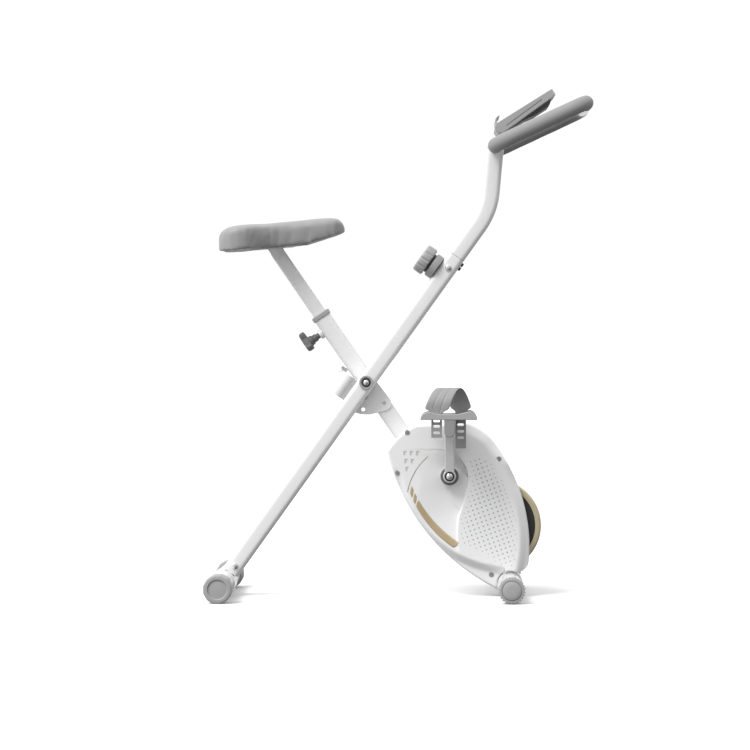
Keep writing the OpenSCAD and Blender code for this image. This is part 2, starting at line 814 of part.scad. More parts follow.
module seat_post() {
    color("lightgray") difference() {
        on_seat_tube(post_bottom) linear_extrude(post_top - post_bottom)
            tube_section(post_width, post_depth, 6, tube_wall);
        for (i = height_holes) on_seat_tube(143 + i * hole_pitch) rotate([0, -90, 0])
            cylinder(r = seat_pin_r + 0.5, h = post_width);
    }
}

// Saddle places, from the pivot and the post's top.
top_x = -post_top * cos(seat_angle);
top_z = post_top * sin(seat_angle);
pan_slope = 4.5;

module on_pan() {
    at_pivot() translate([top_x - 4, 0, top_z + 7]) rotate([0, -pan_slope, 0]) children();
}

module seat_bracket() {
    color(steel) difference() {
        union() {
            for (y = [-post_depth / 2 - 3, post_depth / 2]) on_seat_tube(post_top - 16)
                translate([-13, y, 0]) cube([26, 3, 28]);
            on_pan() translate([-48, seat_y - 45, -3]) cube([90, 66, 3]);
            on_seat_tube(post_top - 8) rod_y(3.9, -post_depth / 2 - 6, post_depth / 2 + 6);
        }
        on_pan() translate([-100, -100, 0]) cube([200, 200, 60]);
        on_seat_tube(post_top - 60) linear_extrude(60) rounded_rect(post_width, post_depth, 6);
    }
}

// Seen from above: two round lobes at the rear, and a narrow round nose.
module saddle_outline(inset) {
    tip = saddle_length / 2;
    lobe = 44;
    lobe_y = saddle_width / 2 - lobe;
    nose = 46;
    neck = nose + 2 - inset;
    polygon(concat(
        arc(tip - nose, 0, nose - inset, -80, 80, 12),
        [[tip - 110, neck + 5], [tip - 140, neck + 12], [tip - 162, neck + 23]],
        arc(lobe - tip, lobe_y, lobe - inset, 45, 180, 10),
        arc(lobe - tip, -lobe_y, lobe - inset, 180, 315, 10),
        [[tip - 162, -neck - 23], [tip - 140, -neck - 12], [tip - 110, -neck - 5]]));
}

saddle_x = top_x + 16.5;
saddle_z = top_z;

// Side outline of the saddle: flat rear, slight dip, raised nose.
module saddle_side() {
    rear = -saddle_length / 2;
    tip = saddle_length / 2;
    polygon([[rear, -4], [rear, 34], [rear + 6, 44], [rear + 18, 50], [-94, 54.6], [-70, 56.5],
             [-38, 57.5], [-9, 61], [18, 63.5], [65, 68], [102, 70.6], [tip - 16, 69],
             [tip - 7, 61], [tip - 2, 52], [tip, 38], [97, 27], [54, 13], [19, 9], [-31, 6],
             [-71, 1.5], [-108, -1.5]]);
}

module saddle_pan_cut() {
    on_pan() translate([-130, -100, -20]) cube([205, 200, 28.2]);
}

module saddle() {
    color(grey) difference() {
        intersection() {
            at_pivot() translate([saddle_x, 0, saddle_z]) slab(-200, 200) saddle_side();
            at_pivot() translate([saddle_x, 0, saddle_z - 50]) linear_extrude(200)
                saddle_outline(0);
        }
        intersection() {
            saddle_pan_cut();
            at_pivot() translate([saddle_x, 0, saddle_z - 50]) linear_extrude(200)
                saddle_outline(9.8);
        }
    }
}

module saddle_base() {
    color("gray") intersection() {
        on_pan() translate([-129, -100, 0]) cube([203, 200, 8]);
        at_pivot() translate([saddle_x, 0, saddle_z - 50]) linear_extrude(200)
            saddle_outline(10);
    }
}

// ---- Drive ----

module crank_axle() {
    color(steel) at_crank() {
        rod_y(axle_r, -crank_y - crank_thick - 1, crank_y + crank_thick + 1);
        for (side = [-1, 1]) {
            from = crank_y + crank_thick;
            hexagon_y(10, side > 0 ? from : -from - 6, side > 0 ? from + 6 : -from);
        }
    }
}

module crank_pulley() {
    color("dimgray") at_crank() {
        ring_y(pulley_r, axle_r, belt_y - belt_half - 1, belt_y + belt_half + 1);
        ring_y(18, axle_r, belt_y - 12, belt_y + 9);
    }
}

// A flat crank arm with a round eye at each end, and a hub disc behind it.
module crank(side, up) {
    from = side > 0 ? crank_y : -crank_y - crank_thick;
    color(steel) at_crank() difference() {
        union() {
            rod_y(14, from, from + crank_thick);
            translate([0, 0, up * crank_length]) rod_y(11, from, from + crank_thick);
            translate([-9.5, from, up > 0 ? 0 : -crank_length])
                cube([19, crank_thick, crank_length]);
            rod_y(17.5, side > 0 ? casing_half + 1 : -crank_y, side > 0 ? crank_y : -casing_half - 1);
        }
        rod_y(axle_r, -100, 100);
        translate([0, 0, up * crank_length]) rod_y(6, -100, 100);
    }
}

module crank_right() { crank(-1, 1); }
module crank_left() { crank(1, -1); }

module spindle(side, up) {
    color(steel) at_crank() translate([0, 0, up * crank_length]) {
        rod_y(6, side > 0 ? crank_y : -pedal_out + 8, side > 0 ? pedal_out - 8 : -crank_y);
        rod_y(9, side > 0 ? pedal_in - 8 : -pedal_in + 1, side > 0 ? pedal_in - 1 : -pedal_in + 8);
    }
}

module spindle_right() { spindle(-1, 1); }
module spindle_left() { spindle(1, -1); }

module at_pedal(side, up) {
    at_crank() translate([0, 0, up * crank_length]) mirror([0, side > 0 ? 1 : 0, 0]) children();
}

// Boat-shaped rim: low in the middle, raised and rounded at both ends.
module pedal_side() {
    polygon([[-61, 5], [-57, 16], [-50, 21], [-38, 22], [-26, 18], [26, 18], [38, 23],
             [48, 22], [56, 17], [61, 5]]);
}

module pedal_body() {
    difference() {
        union() {
            slab(-pedal_out, -pedal_out + 8) pedal_side();
            slab(-pedal_in - 8, -pedal_in) pedal_side();
            slab(-pedal_out + 7, -pedal_in - 7) difference() {
                pedal_side();
                translate([0, 24.5]) square([200, 14], center = true);
            }
            rod_y(11, -pedal_out + 5, -pedal_in);
            slab(-pedal_out - 3, -pedal_out + 5) rounded_end_plate();
            slab(-pedal_in - 6, -pedal_in) rounded_end_plate();
        }
        rod_y(6 + run_fit, -pedal_out + 7.5, -pedal_in + 1);
        for (x = [-42, 42]) slab(-pedal_out + 14, -pedal_in - 14)
            translate([x, 12]) square([14, 40], center = true);
        for (x = [-40.5, 11.5], y = [-pedal_out + 9, -pedal_in - 13])
            translate([x, y, -10]) cube([26, 4, 60]);
    }
}

// The oblong weight at each end keeps the pedal's platform up.
module rounded_end_plate() {
    translate([0, -6]) rounded_rect(24, 52, 11.9);
}

module pedal_right() { color(grey) at_pedal(-1, 1) pedal_body(); }
module pedal_left() { color(grey) at_pedal(1, -1) pedal_body(); }

// The strap: an arch across the pedal, with a tail hanging down outside each side.
arch_half = (pedal_out - pedal_in) / 2 - 11;
strap_thick = 2;

module strap_body() {
    arch_y = -(pedal_out + pedal_in) / 2;
    for (end = [-1, 1]) {
        tail_x = end < 0 ? -39.1 : 12.3;
        tail_low = end < 0 ? -30 : -56;
        translate([tail_x, arch_y + end * arch_half - strap_thick / 2, tail_low])
            cube([23, strap_thick, 36 - tail_low]);
    }
    strap_arch(arch_y);
}

// The arch leans forward as it crosses from the outer side to the inner side.
module strap_arch(arch_y) {
    steps = 14;
    for (i = [0:steps - 1]) hull() for (k = [i, i + 1]) {
        turn = 180 - 180 * k / steps;
        translate([-49.4 + 50.1 * k / steps, arch_y + arch_half * cos(turn), 34 + 42 * sin(turn)])
            rotate([turn - 90, 0, 0]) translate([0, -0.05, 0]) cube([46, 0.1, strap_thick]);
    }
}

module strap_right() { color(grey) at_pedal(-1, 1) strap_body(); }
module strap_left() { color(grey) at_pedal(1, -1) strap_body(); }

module flywheel() {
    half = flywheel_thick / 2;
    color("dimgray") at_flywheel() {
        ring_y(flywheel_r - 13, 6 + run_fit, -half + 6, half - 6);
        ring_y(22, 6 + run_fit, -half, belt_y - belt_half);
        ring_y(small_pulley_r, 6 + run_fit, belt_y - belt_half - 1, belt_y + belt_half + 1);
    }
}

module flywheel_ring() {
    half = flywheel_thick / 2;
    color("tan") at_flywheel() rotate([90, 0, 0]) rotate_extrude() polygon([
        [flywheel_r - 13, -half], [flywheel_r - 4, -half], [flywheel_r, -half + 4],
        [flywheel_r, half - 4], [flywheel_r - 4, half], [flywheel_r - 13, half]]);
}

// The brake arm swings two magnets towards the flywheel's rim.
module magnet_arm() {
    reach = flywheel_r + 9;
    color("gray") at_pivot() difference() {
        union() {
            slab(-10, 10) polygon([[arm_x + 8, arm_z - 7], [arm_x + 8, arm_z + 8],
                [arm_x - 30, arm_z + 6], [fly_x + reach * cos(122), fly_z + (reach + 14) * sin(122)],
                [fly_x + reach * cos(122), fly_z + reach * sin(122)],
                [fly_x + reach * cos(106), fly_z + reach * sin(106)]]);
        }
        translate([arm_x, 0, arm_z]) rod_y(3.05, -20, 20);
    }
}

// ---- Drawing ----

seat_tube();
seat_collar();
lower_frame();
crank_bearings();
flywheel_axle();
drive_belt();
casing_right();
casing_left();
casing_screws();
front_bar();
front_bracket();
front_bolts();
front_cap_right();
front_cap_left();
wheel_axles();
wheel_right();
wheel_left();
main_tube();
handlebar_post();
post_bolts();
handlebar();
bar_sleeve();
grip_right();
grip_left();
tray_bracket();
device_tray();
console();
mode_button();
tension_base();
tension_knob();
cable_grommet();
rear_bar();
rear_bracket();
rear_bolt();
rear_cap_right();
rear_cap_left();
lock_plate();
stop_tube();
stop_bolt();
pivot_bolt();
pivot_washers();
fold_pin();
seat_knob();
seat_post();
seat_bracket();
saddle_base();
saddle();
crank_axle();
crank_pulley();
crank_right();
crank_left();
spindle_right();
spindle_left();
pedal_right();
pedal_left();
strap_right();
strap_left();
flywheel();
flywheel_ring();
magnet_arm();
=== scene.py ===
"""Looks of the folding exercise bike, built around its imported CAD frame.

All lengths are in metres, in the row frame: X forward, Y to the rider's left, Z up.
Near-side pieces are on the rider's right, at negative Y. Outlines are drawn in millimetres.
"""
import math

import bmesh
import bpy
from mathutils import Matrix, Vector


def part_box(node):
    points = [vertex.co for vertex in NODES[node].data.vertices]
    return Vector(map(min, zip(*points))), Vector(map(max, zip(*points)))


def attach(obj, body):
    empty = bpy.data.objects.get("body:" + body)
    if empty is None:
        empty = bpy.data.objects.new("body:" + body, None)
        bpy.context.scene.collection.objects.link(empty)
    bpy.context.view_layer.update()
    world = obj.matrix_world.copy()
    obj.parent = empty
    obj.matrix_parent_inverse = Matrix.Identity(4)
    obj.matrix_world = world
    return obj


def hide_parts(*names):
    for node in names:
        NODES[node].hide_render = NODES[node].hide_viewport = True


MM = 0.001
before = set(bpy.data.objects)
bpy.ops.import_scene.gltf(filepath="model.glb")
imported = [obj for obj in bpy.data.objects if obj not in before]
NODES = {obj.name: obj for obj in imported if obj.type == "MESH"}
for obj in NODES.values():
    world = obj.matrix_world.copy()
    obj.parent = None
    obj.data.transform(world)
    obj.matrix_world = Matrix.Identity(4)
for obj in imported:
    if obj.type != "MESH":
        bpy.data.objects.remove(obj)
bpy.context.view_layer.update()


# ---------------------------------------------------------------- places, from the frame

def cosd(angle):
    return math.cos(math.radians(angle))


def sind(angle):
    return math.sin(math.radians(angle))


def middle(node):
    low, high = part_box(node)
    return (low + high) / 2


def axes(origin, x, y):
    """A frame from its origin and its local X and Y directions."""
    x = Vector(x).normalized()
    z = x.cross(Vector(y)).normalized()
    y = z.cross(x)
    m = Matrix((x, y, z)).transposed().to_4x4()
    m.translation = Vector(origin)
    return m


PIVOT = middle("pivot_washers")
CRANK = middle("crank_bearings")
FLY = middle("flywheel_ring")
REAR = middle("rear_bar")
FRONT = middle("front_bar")
LEG_Y = middle("main_tube").y
SEAT_Y = middle("seat_tube").y
BAR_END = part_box("wheel_left")[1].y
LEG_ANGLE = math.atan2(PIVOT.z - REAR.z, PIVOT.x - REAR.x)
SEAT_ANGLE = math.radians(55.4)
LOOP_SLOPE = math.radians(25)
TRAY_SLOPE = math.radians(32)
LOOP_LENGTH = 0.213
LOOP_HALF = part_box("grip_left")[1].y - 0.016
LOOP_CORNER = 0.042
LOOP_REAR = Vector((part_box("grip_left")[0].x + 0.016, 0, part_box("grip_left")[0].z + 0.016))


def side(point, rise=0.0):
    """A side view in the middle plane: local X is forward, Y is up, Z points out of the near side."""
    return axes((point.x, 0, point.z + rise), (1, 0, 0), (0, 0, 1))


def along_tube(angle, y, distance):
    """Local Z runs up a tube through the pivot, local X points to its front face."""
    up = Vector((math.cos(angle), 0, math.sin(angle)))
    return axes(Vector((PIVOT.x, y, PIVOT.z)) + up * distance, (up.z, 0, -up.x), (0, 1, 0))


def along_leg(distance):
    return along_tube(LEG_ANGLE, LEG_Y, distance)


def along_seat_tube(distance):
    return along_tube(math.pi - SEAT_ANGLE, SEAT_Y, distance)


def spin(axis, degrees):
    return Matrix.Rotation(math.radians(degrees), 4, axis)


def shift(x=0.0, y=0.0, z=0.0):
    return Matrix.Translation((x, y, z))


# ---------------------------------------------------------------- materials

def grey(value):
    """Linear value of an 8-bit grey."""
    return (value / 255) ** 2.2


def tint(r, g, b):
    return (grey(r), grey(g), grey(b), 1)


def shade(colour, level):
    """The same colour, lighter or darker."""
    return tuple(min(1, c * level) for c in colour[:3]) + (1,)


class Nodes:
    """Short names for building one material."""

    def __init__(self, name):
        self.mat = bpy.data.materials.new(name)
        self.mat.use_nodes = True
        self.tree = self.mat.node_tree
        self.bsdf = self.tree.nodes["Principled BSDF"]
        self.place = self.add("ShaderNodeTexCoord").outputs["Object"]

    def add(self, kind, **values):
        node = self.tree.nodes.new(kind)
        for key, value in values.items():
            if hasattr(node, key):
                setattr(node, key, value)
            else:
                node.inputs[key.replace("_", " ").title()].default_value = value
        return node

    def link(self, a, b):
        self.tree.links.new(a, b)

    def noise(self, scale, detail=4.0, stretch=None):
        node = self.add("ShaderNodeTexNoise", scale=scale, detail=detail)
        place = self.place
        if stretch:
            mapping = self.add("ShaderNodeMapping")
            mapping.inputs["Scale"].default_value = stretch
            self.link(place, mapping.inputs["Vector"])
            place = mapping.outputs["Vector"]
        self.link(place, node.inputs["Vector"])
        return node.outputs["Fac"]

    def cells(self, scale, feature="F1"):
        node = self.add("ShaderNodeTexVoronoi", scale=scale)
        node.feature = feature
        self.link(self.place, node.inputs["Vector"])
        return node.outputs["Distance"]

    def rough(self, source, low, high):
        """Roughness that follows a pattern between two levels."""
        node = self.add("ShaderNodeMapRange")
        node.inputs["To Min"].default_value = low
        node.inputs["To Max"].default_value = high
        self.link(source, node.inputs["Value"])
        self.link(node.outputs["Result"], self.bsdf.inputs["Roughness"])

    def colour(self, source, a, b):
        node = self.add("ShaderNodeMix", data_type="RGBA")
        node.inputs[6].default_value = a
        node.inputs[7].default_value = b
        self.link(source, node.inputs[0])
        self.link(node.outputs[2], self.bsdf.inputs["Base Color"])

    def bumps(self, layers, edge=0.0):
        """layers are (height source, strength, distance in metres)."""
        normal = None
        if edge:
            node = self.add("ShaderNodeBevel", samples=4)
            node.inputs["Radius"].default_value = edge
            normal = node.outputs["Normal"]
        for source, strength, distance in layers:
            bump = self.add("ShaderNodeBump")
            bump.inputs["Strength"].default_value = strength
            bump.inputs["Distance"].default_value = distance
            self.link(source, bump.inputs["Height"])
            if normal:
                self.link(normal, bump.inputs["Normal"])
            normal = bump.outputs["Normal"]
        self.link(normal, self.bsdf.inputs["Normal"])

    def set(self, **values):
        for key, value in values.items():
            self.bsdf.inputs[key.replace("_", " ").title().replace("Ior", "IOR")].default_value = value


def moulded(name, base, spread=4, rough=0.45, grain=900, depth=0.35, coat=0.0):
    """Moulded plastic: fine spark-eroded grain, slight cloudiness in colour and shine."""
    n = Nodes(name)
    n.colour(n.noise(14, 3), shade(base, 1 - spread / 100), shade(base, 1 + spread / 100))
    n.rough(n.noise(60, 3), rough - 0.05, rough + 0.07)
    n.bumps([(n.cells(grain), depth * 0.3, 0.0002), (n.noise(grain * 1.7, 2), depth, 0.00012)])
    n.set(coat_weight=coat)
    return n.mat


def painted(name, base, edge=0.0005):
    """Glossy powder coat: slow orange-peel waves under a clear top layer."""
    n = Nodes(name)
    n.colour(n.noise(9, 3), shade(base, 0.975), base)
    n.rough(n.noise(45, 3), 0.2, 0.3)
    n.bumps([(n.noise(160, 2), 0.05, 0.00025)], edge)
    n.set(coat_weight=0.35, coat_roughness=0.08)
    return n.mat


def metal(name, base, rough, brush=(1, 1, 1), grain=700):
    """Plated or turned metal, with fine tool marks along one direction."""
    n = Nodes(name)
    n.colour(n.noise(120, 4, brush), shade(base, 0.82), base)
    n.rough(n.noise(260, 3, brush), rough - 0.08, rough + 0.12)
    n.bumps([(n.noise(grain, 3, brush), 0.18, 0.0001)])
    n.set(metallic=1.0)
    return n.mat


def vinyl(name, base):
    """Soft vinyl with a small leather grain: pebbles between fine creases."""
    n = Nodes(name)
    n.colour(n.noise(22, 4), shade(base, 0.93), base)
    n.rough(n.noise(300, 3), 0.42, 0.58)
    n.bumps([(n.cells(520, "DISTANCE_TO_EDGE"), 0.22, 0.0004), (n.noise(1500, 3), 0.12, 0.0002),
             (n.noise(30, 2), 0.10, 0.002)])
    n.set(sheen_weight=0.12, sheen_roughness=0.5, specular_ior_level=0.35)
    return n.mat


def foam(name, base):
    """Closed-cell foam with an open, pitted skin."""
    n = Nodes(name)
    n.colour(n.noise(420, 4), shade(base, 0.8), base)
    n.rough(n.noise(200, 2), 0.6, 0.8)
    n.bumps([(n.cells(900), 0.35, 0.0004), (n.noise(2200, 3), 0.25, 0.0002)])
    n.set(sheen_weight=0.1, specular_ior_level=0.3)
    return n.mat


def pearl(name, base, dark):
    """Metallic paint with flake that catches the light unevenly."""
    n = Nodes(name)
    n.colour(n.noise(70, 4), dark, base)
    n.rough(n.cells(2600), 0.28, 0.5)
    n.bumps([(n.cells(2600), 0.12, 0.0001), (n.noise(300, 2), 0.08, 0.0002)])
    n.set(metallic=0.35, coat_weight=0.3)
    return n.mat


def cast(name, base):
    """Painted casting: coarse pores and a turned face."""
    n = Nodes(name)
    n.colour(n.noise(160, 5), shade(base, 0.6), base)
    n.rough(n.noise(90, 3), 0.4, 0.62)
    n.bumps([(n.noise(380, 4), 0.4, 0.0006), (n.cells(240), 0.15, 0.0005)], 0.0006)
    return n.mat


M = {
    "paint": painted("white_powder_coat", tint(238, 238, 238), 0.0),
    "plate_paint": painted("white_plate_coat", tint(238, 238, 238)),
    "casing": moulded("white_gloss_casing", tint(240, 240, 241), 1.5, 0.3, 700, 0.12, coat=0.25),
    "plastic": moulded("grey_moulded", tint(166, 166, 166)),
    "dull": moulded("dull_grey_moulded", tint(146, 146, 146)),
    "dark": moulded("dark_moulded", tint(104, 104, 105), 6, 0.5, 800, 0.4),
    "black": moulded("near_black_moulded", tint(48, 48, 50), 8, 0.4, 800, 0.3),
    "screen": moulded("screen_window", tint(58, 66, 62), 10, 0.08, 300, 0.02, coat=0.8),
    "strap": moulded("grey_strap", tint(150, 150, 150), 5, 0.5, 1400, 0.45),
    "vinyl": vinyl("saddle_vinyl", tint(157, 157, 157)),
    "foam": foam("grip_foam", tint(156, 156, 156)),
    "zinc": metal("zinc_plate", (0.72, 0.72, 0.74, 1), 0.26),
    "chrome": metal("bright_chrome", (0.92, 0.92, 0.93, 1), 0.14),
    "arm": metal("satin_arm", (0.84, 0.84, 0.85, 1), 0.45, (1, 1, 8), 500),
    "gold": pearl("champagne_stripe", tint(203, 184, 148), tint(186, 166, 128)),
    "gold_line": pearl("dull_gold_line", tint(186, 174, 150), tint(170, 158, 136)),
    "ring": pearl("champagne_ring", tint(214, 202, 172), tint(196, 182, 148)),
    "iron": cast("flywheel_iron", tint(62, 61, 58)),
    "mark": moulded("pale_marks", tint(196, 196, 198), 4, 0.4, 900, 0.2),
}


# ---------------------------------------------------------------- mesh building

def arc(cx, cy, r, start, end, steps):
    """Points along an arc, by angles in degrees."""
    turn = [math.radians(start + (end - start) * i / steps) for i in range(steps + 1)]
    return [(cx + r * math.cos(a), cy + r * math.sin(a)) for a in turn]


def circle(r, steps=36):
    return [(r * math.cos(2 * math.pi * i / steps), r * math.sin(2 * math.pi * i / steps))
            for i in range(steps)]


def rounded_box(w, h, r, steps=5):
    """Outline of a rectangle with round corners, about the origin."""
    x, y = w / 2 - r, h / 2 - r
    return (arc(x, y, r, 0, 90, steps) + arc(-x, y, r, 90, 180, steps)
            + arc(-x, -y, r, 180, 270, steps) + arc(x, -y, r, 270, 360, steps))


def add_object(name, data):
    obj = bpy.data.objects.new(name, data)
    bpy.context.scene.collection.objects.link(obj)
    return obj


def solid(bm, name, place, mirror=False):
    """Turns a local bmesh in millimetres into an object at its place."""
    bmesh.ops.scale(bm, vec=(MM, MM, MM), verts=bm.verts)
    bmesh.ops.transform(bm, matrix=place, verts=bm.verts)
    if mirror:
        bmesh.ops.scale(bm, vec=(1, -1, 1), verts=bm.verts)
    bmesh.ops.recalc_face_normals(bm, faces=bm.faces)
    mesh = bpy.data.meshes.new(name)
    bm.to_mesh(mesh)
    bm.free()
    return add_object(name, mesh)


def put(bm, name, place, body, material, replaces=(), mirror=False, sharp=38):
    """Turns a local bmesh in millimetres into a piece that rides on a body."""
    bmesh.ops.remove_doubles(bm, verts=bm.verts, dist=1e-4)
    obj = solid(bm, name, place, mirror)
    obj.data.shade_smooth()
    obj.data.set_sharp_from_angle(angle=math.radians(sharp))
    obj.data.materials.append(M[material])
    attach(obj, body)
    if replaces:
        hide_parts(*replaces)
    return obj


def soften(obj, width, segments):
    """Rounds a piece's edges. width is in millimetres."""
    bevel = obj.modifiers.new("round", "BEVEL")
    bevel.width = width * MM
    bevel.segments = segments
    bevel.limit_method = "ANGLE"
    bevel.angle_limit = math.radians(32)
    bevel.harden_normals = True
    return obj


def loft(rings, close=True, caps=True):
    """A skin through rings of points, each ring a list of (x, y, z)."""
    bm = bmesh.new()
    rows = [[bm.verts.new(p) for p in ring] for ring in rings]
    count = len(rows[0])
    for a, b in zip(rows, rows[1:]):
        for i in range(count if close else count - 1):
            j = (i + 1) % count
            bm.faces.new((a[i], a[j], b[j], b[i]))
    if caps:
        bm.faces.new(rows[0])
        bm.faces.new(list(reversed(rows[-1])))
    return bm


def prism(outline, low, high, holes=()):
    """An outline in local XY, with holes, extruded along local Z."""
    bm = bmesh.new()
    edges = []
    for loop in [outline, *holes]:
        verts = [bm.verts.new((x, y, low)) for x, y in loop]
        edges += [bm.edges.new((a, b)) for a, b in zip(verts, verts[1:] + verts[:1])]
    if holes:
        bmesh.ops.triangle_fill(bm, use_beauty=True, edges=edges)
    else:
        bm.faces.new(list(bm.verts))
    grown = bmesh.ops.extrude_face_region(bm, geom=list(bm.faces))
    verts = [v for v in grown["geom"] if isinstance(v, bmesh.types.BMVert)]
    bmesh.ops.translate(bm, vec=(0, 0, high - low), verts=verts)
    return bm


def lathe(profile, steps=64):
    """(radius, height) points turned around local Z. A zero radius closes an end."""
    return loft([[(x, y, z) for x, y in circle(max(r, 0.001), steps)] for r, z in profile])


def join(*parts):
    """Several bmeshes as one."""
    whole = bmesh.new()
    for bm in parts:
        mesh = bpy.data.meshes.new("part")
        bm.to_mesh(mesh)
        bm.free()
        whole.from_mesh(mesh)
        bpy.data.meshes.remove(mesh)
    return whole


def moved(bm, matrix):
    bmesh.ops.transform(bm, matrix=matrix, verts=bm.verts)
    return bm


def shifted(outline, x, y):
    return [(px + x, py + y) for px, py in outline]


def stack(steps, levels):
    """A form through (radius, height) levels. A radius may be a function of the angle in degrees."""
    rings = []
    for radius, z in levels:
        ring = []
        for i in range(steps):
            a = 360 * i / steps
            r = radius(a) if callable(radius) else radius
            ring.append((r * cosd(a), r * sind(a), z))
        rings.append(ring)
    return loft(rings)


def domed_head(r, low, height):
    """A round bolt head with a domed top, from local height low."""
    side_top = low + height * 0.45
    dome = [(r * cosd(a), side_top + height * 0.55 * sind(a))
            for a in range(0, 91, 15)]
    return lathe([(0, low), (r * 0.97, low), (r, low + 0.4)] + dome, 40)


def hex_head(r, height):
    """A bolt head with a chamfered hexagon."""
    def hexagon(size):
        return lambda a: size * cosd(30) / cosd((a % 60) - 30)
    return stack(48, [(hexagon(r), 0), (hexagon(r), height * 0.85),
                      (lambda a: min(hexagon(r)(a), r * 0.88), height)])


# ---------------------------------------------------------------- the casing

TOP_Z = 0.1145
LEFT_ARC = (0.297, 0.153, 0.4438)
RIGHT_ARC = (-0.196, -0.154, 0.3694)
CROWN_ARC = (-0.0126, -0.020, 0.1435)
BAND_ARC = (0.133, 0.040, 0.235)
FRONT_BAND_ARC = (-0.119, -0.137, 0.269)
CASING_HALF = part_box("casing_left")[1].y
FLY_R = 0.0995
CUT = (FRONT.x - CRANK.x, FRONT.z - CRANK.z, 0.0285)
SHOULDER = (-0.125, 0.092, 0.0135)
TIP = (0.143, -0.180, 0.0305)


def reach(p, circle):
    """Distance from a side-view place to the middle of an (x, z, radius) circle."""
    return math.hypot(p[0] - circle[0], p[1] - circle[1])


def roof(x):
    """Height of the casing's top, which slopes up a little before it runs level."""
    return min(TOP_Z, 0.109 + 0.0376 * (x + 0.095))


def in_casing(x, z):
    """Is a side-view place, from the crank, inside the casing's outline?"""
    p = (x, z)
    if reach(p, LEFT_ARC) > LEFT_ARC[2] or reach(p, RIGHT_ARC) > RIGHT_ARC[2]:
        return False
    if z > 0.037 and reach(p, CROWN_ARC) > CROWN_ARC[2]:
        return False
    if z > roof(x):
        return False
    if x < SHOULDER[0] and z > SHOULDER[1] and reach(p, SHOULDER) > SHOULDER[2]:
        return False
    if x > TIP[0] and z < TIP[1] and reach(p, TIP) > TIP[2]:
        return False
    return reach(p, CUT) > CUT[2]


def edge_distance(x, z):
    """Rough distance to the casing's outline."""
    p = (x, z)
    gaps = [LEFT_ARC[2] - reach(p, LEFT_ARC), RIGHT_ARC[2] - reach(p, RIGHT_ARC), roof(x) - z,
            reach(p, CUT) - CUT[2]]
    if z > 0.0:
        gaps.append(CROWN_ARC[2] - reach(p, CROWN_ARC) + max(0.0, 0.037 - z) * 2)
    return max(0.0, min(gaps))


def smooth(t):
    t = max(0.0, min(1.0, t))
    return t * t * (3 - 2 * t)


def wall_x(z):
    """Forward edge of the scooped hollow round the crank: one arc bulging forward, then an S."""
    if z > -0.031:
        inside = 0.0639 ** 2 - (z + 0.0067) ** 2
        return -0.0218 + math.sqrt(max(inside, 0.0))
    if z > -0.087:
        return -0.2873 + math.sqrt(0.3303 ** 2 - (z - 0.030) ** 2)
    return 0.2221 - math.sqrt(max(0.2038 ** 2 - (z + 0.1253) ** 2, 0.0))


EDGE_ROUND = 0.005


def casing_height(x, z):
    """Distance of the casing's face from the middle plane, at a place measured from the crank.

    The face steps down behind the rear band, ahead of the front band, towards the upper rim
    and inside the hollow round the crank, and its edge is rounded.
    """
    p = (x, z)
    e = edge_distance(x, z)
    h = CASING_HALF
    band = reach(p, BAND_ARC) - BAND_ARC[2]
    if z < 0.02 and x < 0.12:
        h -= 0.0135 * smooth(band / 0.020) * smooth((0.02 - z) / 0.06)
    front = reach(p, FRONT_BAND_ARC) - FRONT_BAND_ARC[2]
    h -= 0.013 * smooth(front / 0.024) * smooth((0.045 - z) / 0.07)
    upper_front = smooth((x - 0.02) / 0.05) * smooth((z - 0.02) / 0.05)
    h -= 0.010 * smooth((0.022 - e) / 0.022) * upper_front
    if z < 0.0572:
        ahead = wall_x(z) - x
        depth = 0.017 * smooth((0.0572 - z) / 0.05) * smooth((z + 0.175) / 0.16) + 0.0012
        fall = max(0.0, 1 - max(ahead, 0.0) / 0.105)
        h -= depth * smooth(ahead / 0.0040) * fall ** 1.3 * smooth((z + 0.182) / 0.03)
    if e < EDGE_ROUND:
        h -= EDGE_ROUND * (1 - math.sqrt(1 - (1 - e / EDGE_ROUND) ** 2))
    return h


def casing_outline_points(count):
    """The outline by rays from a middle point, with its sharp turns eased a little."""
    cx, cz = 0.030, -0.040
    radii = []
    for i in range(count):
        a = 2 * math.pi * i / count
        low, high = 0.0, 0.01
        while in_casing(cx + high * math.cos(a), cz + high * math.sin(a)):
            low, high = high, high + 0.004
        for _ in range(18):
            mid = (low + high) / 2
            if in_casing(cx + mid * math.cos(a), cz + mid * math.sin(a)):
                low = mid
            else:
                high = mid
        radii.append(low)
    eased = [(radii[i - 1] + 2 * r + radii[(i + 1) % count]) / 4 for i, r in enumerate(radii)]
    return [(cx, cz, math.cos(2 * math.pi * i / count), math.sin(2 * math.pi * i / count), r)
            for i, r in enumerate(eased)]


